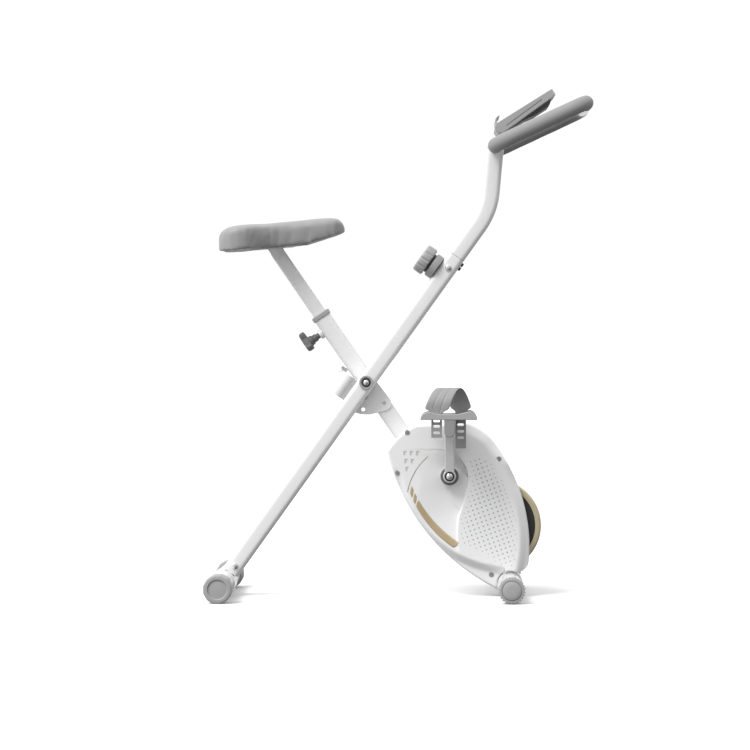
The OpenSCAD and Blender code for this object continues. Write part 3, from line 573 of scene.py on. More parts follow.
def casing_shell(name, node, mirror):
    """One half: a detailed face, its side wall, and a slot where the flywheel comes out."""
    steps = 460
    rings = 92
    rays = casing_outline_points(steps)
    slot_half = 17 * MM
    bm = bmesh.new()
    rows = []
    for k in range(rings + 1):
        t = 1 - (1 - k / rings) ** 1.25
        row = []
        for cx, cz, c, s, r in rays:
            x, z = cx + c * r * t, cz + s * r * t
            row.append(bm.verts.new((x, z, casing_height(x, z))))
            if k == 0:
                break
        rows.append(row)
    hub = rows[0][0]
    for i in range(steps):
        bm.faces.new((hub, rows[1][i], rows[1][(i + 1) % steps]))
    for a, b in zip(rows[1:], rows[2:]):
        for i in range(steps):
            j = (i + 1) % steps
            bm.faces.new((a[i], a[j], b[j], b[i]))
    last = rows[-1]
    fly = (FLY.x - CRANK.x, FLY.z - CRANK.z)
    for depth in (slot_half + 0.004, slot_half, 0.0):
        row = [bm.verts.new((v.co.x, v.co.y, min(depth, v.co.z))) for v in last]
        for i in range(steps):
            j = (i + 1) % steps
            at = (last[i].co + last[j].co) / 2
            slotted = reach(at, fly) < FLY_R + 0.004
            if not (slotted and depth == 0.0):
                bm.faces.new((last[i], last[j], row[j], row[i]))
        last = row
    for v in [v for v in bm.verts if not v.link_faces]:
        bm.verts.remove(v)
    bmesh.ops.scale(bm, vec=(1000, 1000, 1000), verts=bm.verts)
    obj = put(bm, name, side(CRANK), "front_frame",
              "casing", (node,), mirror, sharp=55)
    skin = obj.modifiers.new("wall", "SOLIDIFY")
    skin.thickness = 2.2 * MM
    skin.offset = -1
    return obj


def on_casing(x, z, lift):
    """A point in millimetres a little off the face, in the casing's side view from the crank."""
    return (x * 1000, z * 1000, (casing_height(x, z) + lift) * 1000)


def stripe(name, inner, outer, start, end, mirror, steps=60, across=5, slant=0.0, material="gold"):
    """A thin applied strip between two arcs, given from the crank, lying on the face."""
    rows = []
    for i in range(steps + 1):
        t = i / steps
        row = []
        for k in range(across + 1):
            w = k / across
            u = min(1, max(0, t + slant * (w - 0.5)))
            a = math.radians(start + (end - start) * u)
            p = [inner[n] + inner[2] * (math.cos(a), math.sin(a))[n] for n in (0, 1)]
            q = [outer[n] + outer[2] * (math.cos(a), math.sin(a))[n] for n in (0, 1)]
            x, z = p[0] + (q[0] - p[0]) * w, p[1] + (q[1] - p[1]) * w
            row.append(on_casing(x, z, 0.0004))
        rows.append(row)
    bm = loft(rows, close=False, caps=False)
    obj = put(bm, name, side(CRANK), "front_frame",
              material, mirror=mirror)
    thick = obj.modifiers.new("film", "SOLIDIFY")
    thick.thickness = 0.0005
    thick.offset = -1
    return obj


def dot_studs(name, mirror):
    """Low studs on a tilted square lattice, smaller towards the panel's edges."""
    domes = []
    pitch, tilt = 0.01005, math.radians(19.3)
    for i in range(-22, 22):
        for j in range(-22, 22):
            x = 0.095 + pitch * (i * math.cos(tilt) + j * math.sin(tilt))
            z = -0.080 + pitch * (i * math.sin(tilt) - j * math.cos(tilt))
            if not -0.195 < z < 0.040:
                continue
            behind = x - wall_x(z)
            ahead = FRONT_BAND_ARC[2] - reach((x, z), FRONT_BAND_ARC)
            top = 0.062 - z - abs(x - 0.075) * 0.7
            low = 0.5 * (x - 0.020) + z + 0.145
            room = min(behind - 0.004, ahead - 0.003, top, low)
            if room <= 0:
                continue
            r = 1.75 * min(1.0, 0.55 + room / 0.045)
            px, pz, h = on_casing(x, z, -0.0001)
            dome = lathe([(r, 0), (r * 0.96, 0.25), (r * 0.7, 0.5), (r * 0.35, 0.62), (0, 0.66)], 10)
            domes.append(moved(dome, shift(px, pz, h)))
    return put(join(*domes), name, side(CRANK), "front_frame",
               "plastic", mirror=mirror, sharp=80)


def badge_marks(name, mirror):
    """Six small raised lozenges in three rows: a plain pattern with no meaning."""
    marks = []
    for row, count in enumerate((3, 2, 1)):
        for i in range(count):
            x = -0.097 + 0.0138 * i + 0.0022 * row
            z = 0.050 - 0.0172 * row
            px, pz, h = on_casing(x, z, -0.0002)
            bar = prism(rounded_box(7.5, 3.2, 1.4, 3), 0, 0.7)
            stem = prism(rounded_box(3.4, 8.5, 1.5, 3), 0, 0.6)
            marks.append(moved(bar, shift(px, pz + 3.2, h)))
            marks.append(moved(stem, shift(px - 1.4, pz - 1.0, h)))
    return put(join(*marks), name, side(CRANK), "front_frame",
               "mark", mirror=mirror)


def casing_screw_heads(mirror, tag):
    """Recessed round heads with a cross slot."""
    heads = []
    for x, z in ((-0.0915, 0.094), (-0.1125, 0.007), (0.1065, 0.037), (0.091, -0.215)):
        px, pz, h = on_casing(x, z, 0)
        head = lathe([(0, -0.8), (5.6, -0.8), (5.6, 0.6), (5.1, 0.9), (4.7, 0.5), (2.5, 0.8),
                      (0, 0.9)], 32)
        heads.append(moved(head, shift(px, pz, h)))
        for turn in (20, 110):
            cross = prism(rounded_box(5.2, 1.1, 0.4, 2), 0.2, 1.1)
            heads.append(moved(cross, shift(px, pz, h) @ spin("Z", turn)))
    return put(join(*heads), "casing_screws_" + tag, side(CRANK),
               "front_frame", "dull", ("casing_screws",), mirror)


for tag, mirror in (("right", False), ("left", True)):
    casing_shell("casing_shell_" + tag, "casing_" + tag, mirror)
    gold_in, gold_out = (0.1658, 0.0804, 0.2678), (0.1505, 0.0532, 0.2528)
    stripe("stripe_long_" + tag, gold_in, gold_out, 208.3, 237, mirror, slant=-0.09)
    stripe("stripe_mid_" + tag, gold_in, gold_out, 205.0, 207.8, mirror, steps=8, slant=-0.7)
    stripe("stripe_short_" + tag, gold_in, gold_out, 201.2, 204.4, mirror, steps=8, slant=-0.7)
    line_in, line_out = (0.0407, -0.0583, 0.1331), (0.0407, -0.0583, 0.1348)
    stripe("stripe_thin_" + tag, line_in, line_out, 131, 170, mirror, across=2, material="gold_line")
    dot_studs("panel_studs_" + tag, mirror)
    badge_marks("panel_marks_" + tag, mirror)
    casing_screw_heads(mirror, tag)


# ---------------------------------------------------------------- saddle

def saddle_half_width(x):
    """Half the saddle's width, in millimetres, at x millimetres ahead of its middle."""
    keys = [(-136, 0), (-135.7, 50), (-135.2, 84), (-133.5, 97), (-130, 106), (-121, 117), (-108, 125),
            (-92, 127.5), (-76, 124), (-61, 113), (-44, 91), (-26, 71), (-4, 60), (24, 53), (60, 49),
            (92, 46), (112, 42), (125, 32), (133, 18), (136, 0)]
    for (x0, w0), (x1, w1) in zip(keys, keys[1:]):
        if x <= x1:
            t = (x - x0) / (x1 - x0)
            return w0 + (w1 - w0) * (0.5 - 0.5 * math.cos(math.pi * t) if abs(w1 - w0) < 12 else t)
    return 0.0


def along_keys(keys, x):
    """Height along straight runs between (x, z) keys."""
    for (x0, z0), (x1, z1) in zip(keys, keys[1:]):
        if x <= x1:
            return z0 + (z1 - z0) * (x - x0) / (x1 - x0)
    return keys[-1][1]


SADDLE_TOP = [(-136, 34), (-130, 44), (-118, 50), (-94, 54.6), (-70, 56.5), (-38, 57.5), (-9, 61),
              (18, 63.5), (65, 68), (102, 70.6), (120, 69), (129, 61), (134, 52), (136, 38)]
SADDLE_LOW = [(-136, -4), (-108, -1.5), (-71, 1.5), (-31, 6), (19, 9), (54, 13), (97, 27), (136, 38)]


def build_saddle():
    """A closed cushion lofted across its length, then puffed by a short cloth run."""
    low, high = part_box("saddle")
    centre = Vector(((low.x + high.x) / 2, 0, low.z + 0.004))
    rings = []
    for k in range(58):
        x = -135.4 * math.cos(math.pi * k / 57)
        w = max(saddle_half_width(x) - 0.8, 3)
        bottom = along_keys(SADDLE_LOW, x)
        top = max(along_keys(SADDLE_TOP, x), bottom + 3)
        crown = 4.5 * min(1, w / 90)
        edge = min(15, w * 0.5, (top - bottom) * 0.35)
        ring = [(x, w, bottom), (x, w, (bottom + top - crown - edge) / 2)]
        for i in range(11):
            a = math.pi / 2 * i / 10
            ring.append((x, w - edge + edge * math.cos(a), top - crown - edge + edge * math.sin(a)))
        for i in range(1, 12):
            y = (w - edge) * (1 - 2 * i / 12)
            lift = crown * (1 - (y / max(w - edge, 1)) ** 2)
            dip = 3.2 * math.exp(-(y / 14) ** 2) * smooth((x + 100) / 60) * smooth((70 - x) / 50)
            ring.append((x, y, top - crown + lift - dip))
        for i in range(11):
            a = math.pi / 2 * (1 - i / 10)
            ring.append((x, -w + edge - edge * math.cos(a), top - crown - edge + edge * math.sin(a)))
        ring += [(x, -w, (bottom + top - crown - edge) / 2), (x, -w, bottom),
                 (x, -w * 0.85, bottom + 1), (x, 0, bottom + 2), (x, w * 0.85, bottom + 1)]
        rings.append(ring)
    bm = loft(rings)
    obj = put(bm, "saddle_cushion", Matrix.Translation(centre), "seat", "vinyl",
              ("saddle",), sharp=70)
    puff(obj, voxel=0.004, pressure=3.0, cap=0.0012)


def puff(obj, voxel, pressure, cap):
    """Remeshes a closed form, inflates it as cloth for a moment, and limits how far it moved."""
    bpy.context.view_layer.objects.active = obj
    remesh = obj.modifiers.new("voxels", "REMESH")
    remesh.mode = "VOXEL"
    remesh.voxel_size = voxel
    apply_all(obj)
    start = [v.co.copy() for v in obj.data.vertices]
    lowest = min(v.z for v in start)
    keep = obj.vertex_groups.new(name="held")
    for i, v in enumerate(start):
        keep.add([i], 1.0 if v.z < lowest + 0.012 else 0.0, "REPLACE")
    cloth = obj.modifiers.new("cloth", "CLOTH")
    cloth.settings.use_pressure = True
    cloth.settings.uniform_pressure_force = pressure
    cloth.settings.vertex_group_mass = "held"
    cloth.settings.effector_weights.gravity = 0
    for f in range(1, 13):
        bpy.context.scene.frame_set(f)
    apply_all(obj)
    bpy.context.scene.frame_set(1)
    for v, was in zip(obj.data.vertices, start):
        step = v.co - was
        if step.length > cap:
            v.co = was + step * (cap / step.length)
    ease = obj.modifiers.new("ease", "SMOOTH")
    ease.iterations = 4
    ease.factor = 0.5
    divide = obj.modifiers.new("divide", "SUBSURF")
    divide.levels = divide.render_levels = 1
    apply_all(obj)
    obj.data.shade_smooth()


def apply_all(obj):
    """Bakes an object's modifiers into its mesh."""
    done = bpy.data.meshes.new_from_object(
        obj.evaluated_get(bpy.context.evaluated_depsgraph_get()))
    obj.modifiers.clear()
    old = obj.data
    materials = list(old.materials)
    obj.data = done
    done.materials.clear()
    for m in materials:
        done.materials.append(m)
    obj.vertex_groups.clear()


build_saddle()


# ---------------------------------------------------------------- handlebar

def sweep(stations, profile):
    """A closed profile carried through frames. Each station is (matrix, scale)."""
    rings = []
    for m, scale in stations:
        rings.append([tuple(m @ Vector((x * scale, y * scale, 0))) for x, y in profile])
    return loft(rings)


GRIP_CROSS = 34.0
GRIP_R = 15.9


def loop_station(s):
    """A frame at distance s (mm) along the grip: front bar, corner, side, corner, rear bar."""
    length, half, corner = LOOP_LENGTH * 1000, LOOP_HALF * 1000, LOOP_CORNER * 1000
    cross = GRIP_CROSS
    bend = corner * math.pi / 2
    straight = length - 2 * corner
    if s < cross:
        p, a = (length, half - corner - cross + s), 90
    elif s < cross + bend:
        a = 90 + (s - cross) / bend * 90
        p = (length - corner + corner * sind(a), half - corner - corner * cosd(a))
    elif s < cross + bend + straight:
        p, a = (length - corner - (s - cross - bend), half), 180
    elif s < cross + 2 * bend + straight:
        a = 180 + (s - cross - bend - straight) / bend * 90
        p = (corner + corner * sind(a), half - corner - corner * cosd(a))
    else:
        p, a = (0, half - corner - (s - cross - 2 * bend - straight)), 270
    heading = Vector((cosd(a), sind(a), 0))
    return axes((*p, 0), heading.cross(Vector((0, 0, 1))), (0, 0, 1))


def foam_grip(name, mirror, node):
    """Thick foam with rounded ends, slightly fuller along the side."""
    total = 2 * GRIP_CROSS + LOOP_CORNER * 1000 * math.pi + (LOOP_LENGTH - 2 * LOOP_CORNER) * 1000
    stations = []
    count = 90
    round_end = 6.5
    ends = [0, 0.4, 1.2, 2.4, 4.2, round_end]
    places = ends + [round_end + (total - 2 * round_end) * i / count for i in range(1, count)]
    places += [total - e for e in reversed(ends)]
    for s in places:
        e = min(s, total - s)
        scale = 0.72 + 0.28 * math.sqrt(max(0.0, 1 - (1 - min(e, round_end) / round_end) ** 2))
        scale *= 1 + 0.008 * math.sin(s / 9.0) * smooth(e / 20)
        stations.append((loop_station(s), scale))
    bm = sweep(stations, circle(GRIP_R))
    place = axes(LOOP_REAR, (math.cos(LOOP_SLOPE), 0, math.sin(LOOP_SLOPE)), (0, 1, 0))
    obj = put(bm, name, place, "rear_frame", "foam", (node,), mirror=mirror, sharp=60)


foam_grip("grip_foam_left", False, "grip_left")
foam_grip("grip_foam_right", True, "grip_right")


POST_SEAM = 336.0
POST_LEAN = 84.7


def bent_post():
    """The post above the seam, with round corners and one bend, and a stub in the main tube."""
    seam, straight, radius = POST_SEAM, 82.0, 150.0
    bend = POST_LEAN - math.degrees(LEG_ANGLE)
    profile = rounded_box(37.8, 33.8, 10.8, 6)
    stations = [(shift(z=seam + rise), scale)
                for rise, scale in ((-14, 0.88), (0.7, 0.88), (0.7, 0.985), (1.4, 1.0))]
    for i in range(7):
        stations.append((shift(z=seam + 4 + (straight - 4) * i / 6), 1.0))
    for i in range(1, 17):
        turn = spin("Y", -bend * i / 16)
        stations.append((shift(-radius, 0, seam + straight) @ turn @ shift(radius), 1.0))
    last = stations[-1][0]
    for d in (20, 45, 70, 84, 93):
        stations.append((last @ shift(z=d), 1.0))
    put(sweep(stations, profile), "handlebar_post_tube", along_leg(0), "rear_frame",
        "paint", ("handlebar_post",), sharp=50)


bent_post()


CONSOLE_X = 111


def on_tray():
    """The tray's middle at its rear edge: local X runs up its slope, local Z out of its face."""
    rear = Vector((LOOP_REAR.x + 0.008, 0, LOOP_REAR.z + 0.038))
    return axes(rear, (math.cos(TRAY_SLOPE), 0, math.sin(TRAY_SLOPE)), (0, 1, 0))


SIDEWAYS = Matrix(((1, 0, 0, 0), (0, 0, -1, 0), (0, 1, 0, 0), (0, 0, 0, 1)))


def tray_slab():
    """The slab's side view carried across the bike, with rounded corners seen from above."""
    view = [(-8, -4), (-8.3, 3.4), (-6.6, 6.2), (-4, 8), (0, 12), (142, 12), (142.3, -2), (135, -3.8),
            (39, -9.7), (0, -12), (-5, -9)]
    half, corner = 94.5, 14.0
    rings = []
    near = [0, 0.7, 2, 4, 7, 10.5, 14]
    for y, e in [(half - e, e) for e in near] + [(e - half, e) for e in reversed(near)]:
        inset = corner - math.sqrt(corner ** 2 - (corner - e) ** 2)
        rings.append([(min(max(x, inset - 8.3), 142.3 - inset), y, z) for x, z in view])
    return loft(rings)


def cutter(width, height, x, low, high):
    """A plain block that a piece is cut with. It is gone before the scene is finished."""
    bm = moved(prism(rounded_box(width, height, 2, 3), low, high), shift(x))
    return solid(bm, "cutter", on_tray())


def device_tray():
    """The sloped tray: a thick slab, a curled lip, a hollow body behind, and a foot."""
    place = on_tray()
    slab = put(tray_slab(), "tray_slab", place, "rear_frame", "plastic",
               ("device_tray",))
    pocket = cutter(38.6, 96.6, CONSOLE_X, 4, 30)
    bite = slab.modifiers.new("pocket", "BOOLEAN")
    bite.object = pocket
    bite.operation = "DIFFERENCE"
    bite.solver = "EXACT"
    apply_all(slab)
    bpy.data.objects.remove(pocket)
    soften(slab, 2.0, 4)
    hook = [(-1, 11), (0.6, 16.5), (3.4, 20.6), (7, 23.4), (11, 24.7), (15, 24.9), (16.4, 24.2),
            (16.4, 22.9), (15.4, 22.2), (12, 21.9), (8.4, 20.4), (5.6, 17.6), (4.2, 14.4), (3.4, 11)]
    soften(put(moved(prism(hook, -75, 75), SIDEWAYS), "tray_lip", place, "rear_frame",
               "plastic"), 0.6, 2)
    back = [(42, -8), (42, -10), (82, -15.7), (116, -15), (123, -12), (131.6, -3.7), (131, -2)]
    soften(put(moved(prism(back, -55, 55), SIDEWAYS), "tray_back", place, "rear_frame",
               "dark"), 1.5, 3)
    foot = prism(rounded_box(52, 80, 6, 4), -13, -7)
    soften(put(moved(foot, shift(32)), "tray_foot", place, "rear_frame", "plastic"),
           1.5, 3)
    seam = [(17, -3.4), (111, 3.6), (111, 4.6), (17, -2.4)]
    for sign in (-1, 1):
        line = moved(prism(seam, sign * 94.6 - 0.4, sign * 94.6 + 0.2), SIDEWAYS)
        put(line, "tray_seam_" + ("right", "left")[sign < 0], place, "rear_frame",
            "black")


device_tray()


def console_unit():
    """A small display on the tray: bezel, window, and its one button."""
    place = on_tray()
    window_y, button_y = 9, -32
    openings = [shifted(rounded_box(24, 58, 3, 4), 0, window_y), shifted(circle(6.7, 28), 0, button_y)]
    bezel = moved(prism(rounded_box(37.6, 95.6, 2, 6), 4.2, 13.4, openings), shift(CONSOLE_X))
    soften(put(bezel, "console_bezel", place, "rear_frame", "dark", ("console",)),
           0.8, 2)
    glass = moved(prism(rounded_box(25, 59, 3, 4), 9, 12.4), shift(CONSOLE_X, window_y))
    soften(put(glass, "console_window", place, "rear_frame", "screen"), 0.5, 2)
    cap = lathe([(0, 9.8), (6, 9.8), (6, 12.8), (5.7, 13.3), (5.0, 13.6), (2.5, 13.3), (0, 13.2)], 40)
    put(moved(cap, shift(CONSOLE_X, button_y)), "mode_button_cap", place, "mode_button",
        "plastic", ("mode_button",))


console_unit()


# ---------------------------------------------------------------- knobs and clamps

def tension_dial():
    """A round base against the tube, a dark gap, and a fluted cap with a dished face."""
    place = along_leg(0.291) @ spin("Y", -90)
    base = lathe([(0, 18.8), (26.4, 18.8), (27.3, 19.6), (27.3, 32), (26.4, 34), (24.5, 34.9), (20, 35),
                  (0, 35)], 72)
    put(base, "tension_base_body", place, "rear_frame", "dull", ("tension_base",))
    neck = lathe([(0, 35.3), (22.4, 35.3), (22.4, 40.4), (0, 40.4)], 64)
    put(neck, "tension_neck", place, "tension_knob", "black")

    def flute(depth, r):
        return lambda a: r - depth * (0.5 + 0.5 * cosd(a * 12)) ** 6
    cap = stack(360, [
        (0.5, 39.8), (flute(0.8, 29.6), 39.8), (flute(1.6, 31.2), 41.2), (flute(2.4, 32), 43),
        (flute(2.4, 32), 58), (flute(1.8, 31.2), 60.8), (flute(0.5, 29.4), 62.6), (26.5, 63.1),
        (25.2, 62.2), (12, 61.6), (0.5, 61.5)])
    put(cap, "tension_cap", place, "tension_knob", "plastic", ("tension_knob",),
        sharp=60)
    tick = prism(rounded_box(8, 2.0, 0.9, 3), 62.0, 62.9)
    put(moved(tick, shift(19)), "tension_tick", place, "tension_knob", "mark")


tension_dial()


def star_knob():
    """A three-armed knob on a stepped hub, with its steel plunger."""
    place = along_seat_tube(0.143) @ spin("Y", -90)

    def lobe(size):
        def radius(a):
            swing = abs((a + 60) % 120 - 60)
            arm = 13.6 * math.exp(-(swing / 23) ** 4)
            return size * (13 + arm + 1.5 * math.exp(-((swing - 24) / 9) ** 2))
        return radius
    star = stack(180, [
        (0.4, 51.6), (lobe(0.80), 51.6), (lobe(0.95), 52.6), (lobe(1.0), 54.4), (lobe(1.0), 62),
        (lobe(0.95), 64.6), (lobe(0.80), 66), (8.5, 66.6), (7, 65.6), (0.4, 65.6)])
    hub = lathe([(0, 44), (10, 44), (10.8, 45), (10.8, 49), (12.5, 52.5), (0, 52.5)], 48)
    step = lathe([(0, 34.4), (8.1, 34.4), (8.5, 35), (8.5, 43.6), (8, 44.4), (0, 44.4)], 48)
    collar = lathe([(0, 27.4), (6.2, 27.4), (6.5, 28), (6.5, 34.8), (0, 34.8)], 40)
    put(join(star, hub, step, collar), "star_knob", place, "seat_pin", "dark",
        ("seat_knob",), sharp=45)
    plunger = lathe([(0, 15.4), (3.4, 15.4), (4.45, 16.6), (4.45, 28), (0, 28)], 32)
    put(plunger, "seat_plunger", place, "seat_pin", "zinc")


star_knob()


def collar():
    """The split plastic collar at the seat tube's mouth, with a rounded flange."""
    outer = rounded_box(43, 39, 12.8, 8)
    hole = rounded_box(30.6, 26.6, 6.3, 6)
    flange = prism(outer, 0.1, 11, [hole])
    obj = put(flange, "collar_flange", along_seat_tube(0.170), "front_frame", "plastic",
              ("seat_collar",))
    soften(obj, 2.2, 4)
    sleeve = prism(rounded_box(33.9, 29.9, 9, 6), -16, 1, [hole])
    put(sleeve, "collar_sleeve", along_seat_tube(0.170), "front_frame", "plastic")


collar()


# ---------------------------------------------------------------- feet and wheels

def twelve_sided_cap(tag, mirror):
    """Rear end cap: twelve flats with eased corners, a round recess, and a hem ring behind."""
    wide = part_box("rear_cap_" + tag)[1].z * 500

    def flats(size, ease=0.35):
        def radius(a):
            sharp = cosd((a + 15) % 30 - 15)
            return size * (1 / sharp - ease * (1 / sharp - 1))
        return radius
    end = BAR_END * 1000
    cap = stack(144, [
        (24.3, end - 46), (flats(wide - 1.4), end - 46), (flats(wide), end - 44.6),
        (flats(wide), end - 3.2), (flats(wide - 0.6), end - 1.4), (flats(wide - 2.4), end - 0.2),
        (flats(wide - 4.2, 0.6), end), (21.6, end - 0.1), (20.4, end - 1.2), (19.8, end - 3.0),
        (12, end - 2.2), (0.5, end - 2.0)])
    put(cap, "rear_end_" + tag, side(REAR), "rear_frame", "plastic",
        ("rear_cap_" + tag,), mirror, sharp=36)


twelve_sided_cap("right", False)
twelve_sided_cap("left", True)


def transport_wheel(tag, mirror):
    """A toothed wheel with a smooth round cap, running on the front bar's end piece."""
    end = BAR_END * 1000
    width = 20.0
    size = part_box("wheel_" + tag)[1].z * 500

    def teeth(r, depth):
        return lambda a: r - depth * smooth(0.5 + 1.6 * cosd(a * 26))
    wheel = stack(312, [
        (5.2, end - width), (24, end - width), (teeth(size - 1.2, 2.0), end - width + 0.4),
        (teeth(size, 2.9), end - width + 2), (teeth(size, 2.9), end - 4),
        (teeth(size - 0.8, 2.2), end - 2.4), (size - 3.6, end - 1.6), (21.6, end - 1.6),
        (21.2, end - 3.4), (20.2, end - 3.4), (19.9, end - 0.9), (18.8, end - 0.2), (8, end),
        (0.5, end)])
    put(wheel, "toothed_wheel_" + tag, side(FRONT), "wheel_" + tag, "plastic",
        ("wheel_" + tag,), mirror, sharp=45)
    cap = lathe([(24.2, end - 46), (25.9, end - 46), (26.5, end - 45), (26.5, end - 24.5),
                 (25.6, end - 21.6), (22, end - 21.1), (5.3, end - 21.1), (5.3, end - 30),
                 (24.2, end - 30)], 72)
    put(cap, "front_end_" + tag, side(FRONT), "front_frame",
        "plastic", ("front_cap_" + tag,), mirror)


transport_wheel("right", False)
transport_wheel("left", True)


# ---------------------------------------------------------------- drive

PEDAL_REACH = 0.118
PEDAL_OUT, PEDAL_IN = 186.0, 84.0


def crank_arm(tag, mirror, up):
    """A forged arm with a round eye at each end, a bead round its edge, and a hub disc."""
    length = PEDAL_REACH * 1000 * up
    outline = (arc(0, 0, 14, 180 - 42, 360 + 42, 26) + arc(0, length, 10.6, 0, 180, 18) if up > 0
               else arc(0, length, 10.6, 180, 360, 18) + arc(0, 0, 14, -42, 180 + 42, 26))
    arm = prism(outline, 61.2, 70.8)
    place = side(CRANK)
    soften(put(arm, "crank_arm_" + tag, place, "crankset", "arm", ("crank_" + tag,), mirror),
           1.8, 4)
    # Painted shade: the hub disc is dark grey all round, in place of the arm's shadow falling across a
    # light disc.
    disc = lathe([(8, 51.2), (17, 51.2), (17.5, 52), (19.6, 56), (19.8, 60.2), (19.2, 61.0),
                  (8, 61.2)], 72)
    put(disc, "crank_disc_" + tag, place, "crankset", "dark", (), mirror)
    ring = lathe([(7.2, 70.6), (10.6, 70.6), (10.8, 71.2), (10.2, 71.9), (8.0, 71.9), (7.2, 71.3)], 56)
    put(ring, "crank_ring_" + tag, place, "crankset", "black", (), mirror)
    put(domed_head(7, 71.0, 5.4), "crank_bolt_" + tag, place, "crankset", "chrome",
        ("crank_axle",) if tag == "right" else (), mirror)
    half_axle = lathe([(0, 0), (7.9, 0), (7.9, 71), (0, 71)], 48)
    put(half_axle, "crank_axle_" + tag, place, "crankset", "zinc", (), mirror)


crank_arm("right", False, 1)
crank_arm("left", True, -1)


def pedal(tag, mirror, up):
    """A cage pedal: boat-shaped rims, a ribbed platform, and an oblong weight at each end."""
    place = side(CRANK, PEDAL_REACH * up)
    body = "pedal_" + tag
    outer, inner = PEDAL_OUT, PEDAL_IN
    rim_line = [(-63, 8), (-61.5, 13.5), (-59, 18), (-54, 22), (-48, 24.1), (-40, 24.5), (-32, 22),
                (-24, 20.3), (-2, 19.9), (18, 20.5), (28, 23.1), (36, 25.1), (45, 26.6), (51, 24),
                (56, 18), (58.5, 12.5), (59, 8)]
    for label, low, high in (("outer", outer - 8, outer - 0.2), ("inner", inner + 0.2, inner + 8)):
        soften(put(prism(rim_line, low, high), f"pedal_rim_{label}_{tag}", place, body,
                   "plastic", (body,) if label == "outer" else (), mirror), 1.6, 3)
    slots = [shifted(rounded_box(13, 66, 3, 3), x, 0) for x in (-44, -26, 26, 44)]
    lid = prism(rounded_box(116, outer - inner - 14, 6, 4), 8, 16, slots)
    lid = moved(lid, shift(-2, 0, (outer + inner) / 2) @ spin("X", -90))
    soften(put(lid, "pedal_platform_" + tag, place, body, "plastic", (), mirror),
           1.0, 2)
    hub = lathe([(6.3, inner + 1), (10.4, inner + 1), (11, inner + 2), (11, outer - 4), (9, outer - 3),
                 (0, outer - 3)], 40)
    put(hub, "pedal_hub_" + tag, place, body, "dark", (), mirror)
    drop = 4.5
    # Painted shade: the weight plates are a darker grey than the rims, standing in for the shadow over
    # their lower halves.
    for label, low, high in (("outer", outer - 7.5, outer - 1.2), ("inner", inner + 0.3, inner + 5.5)):
        hole = [] if label == "outer" else [shifted(circle(7, 28), 0, drop)]
        plate = prism(rounded_box(23.5, 48.5, 11.6, 10), low, high, hole)
        soften(put(moved(plate, shift(0, -drop)), f"pedal_weight_{label}_{tag}", place, body,
                   "dull", (), mirror), 2.0, 4)


pedal("right", False, 1)
pedal("left", True, -1)


def strap(tag, mirror, up):
    """A moulded strap: ribbed arch leaning forward, and slotted tails outside the rims."""
    place = side(CRANK, PEDAL_REACH * up)
    middle_y, half = (PEDAL_OUT + PEDAL_IN) / 2, 40.0
    body = "pedal_" + tag
    path = [(0, z, 1, 0) for z in (22, 24, 27, 30, 33)]
    path += [(i / 36, 34 + 40 * math.sin(math.pi * i / 36) ** 0.9, -math.cos(math.pi * (1 - i / 36)),
              math.sin(math.pi * i / 36)) for i in range(37)]
    path += [(1, z, -1, 0) for z in (33, 30, 27, 24, 22)]
    rings = []
    count = 37
    for t, lift, nx, nz in path:
        centre, full = -26.4 + 50.1 * t, 52 - 7 * t
        width = 23 + (full - 23) * smooth((lift - 22) / 11)
        reach_out = middle_y + half * nx
        upper = []
        under = []
        for k in range(count):
            w = k / (count - 1)
            x = centre + (w - 0.5) * width
            band = 1.7 - 0.9 * abs(2 * (3 * w % 1.0) - 1) ** 8
            upper.append((x, lift + nz * band, reach_out + nx * band))
            under.append((x, lift - nz * 0.2, reach_out - nx * 0.2))
        rings.append(upper + under[::-1])
    put(loft(rings), "strap_arch_" + tag, place, body, "strap", ("strap_" + tag,), mirror,
        sharp=50)
    top, outer_x = 24.0, -27.6
    for label, x, out, low, places in (
            ("outer", outer_x, middle_y + half, -30.0, (6, -6, -19.4)),
            ("inner", 23.8, middle_y - half, -56.0, (-5.4, -19.4, -33))):
        outline = shifted(rounded_box(23, top - low, 1.6, 3), 0, (top + low) / 2)
        slots = [shifted(rounded_box(14.5, 5.8, 2.8, 5), 0, y) for y in places]
        tail = moved(prism(outline, out - 0.9, out + 1.1, slots), shift(x))
        name = f"strap_tail_{label}_{tag}"
        soften(put(tail, name, place, body, "strap", (), mirror), 0.4, 2)
    tab = prism([(-10.5, top), (-8, 13), (8, 13), (10.5, top)],
                middle_y + half + 0.8, middle_y + half + 2.2)
    tab = moved(tab, shift(outer_x))
    soften(put(tab, "strap_tab_" + tag, place, body, "strap", (), mirror), 0.5, 2)


strap("right", False, 1)
strap("left", True, -1)


def flywheel():
    """A heavy rounded rim in champagne paint round a dark cast disc."""
    place = side(FLY)
    r = FLY_R * 1000
    corner = 5.5
    turn = range(0, 91, 15)
    near = [(r - corner + corner * sind(a), -6.5 - corner * cosd(a)) for a in turn]
    far = [(r - corner + corner * cosd(a), 6.5 + corner * sind(a)) for a in turn]
    ring = lathe([(r - 13, -11.4), (r - 8, -12)] + near + far
                 + [(r - 8, 12), (r - 13, 11.4), (r - 13, -11.4)], 160)
    put(ring, "flywheel_rim", place, "flywheel", "ring", ("flywheel_ring",), sharp=60)
    half = [(6.2, 11.5), (22, 11.5), (30, 8), (40, 5.5), (r - 20, 6.5), (r - 14, 7), (r - 13, 8)]
    disc = lathe([(x, -z) for x, z in reversed(half)] + half, 120)
    put(disc, "flywheel_disc", place, "flywheel", "iron", ("flywheel",))


flywheel()


# ---------------------------------------------------------------- bolts and small parts

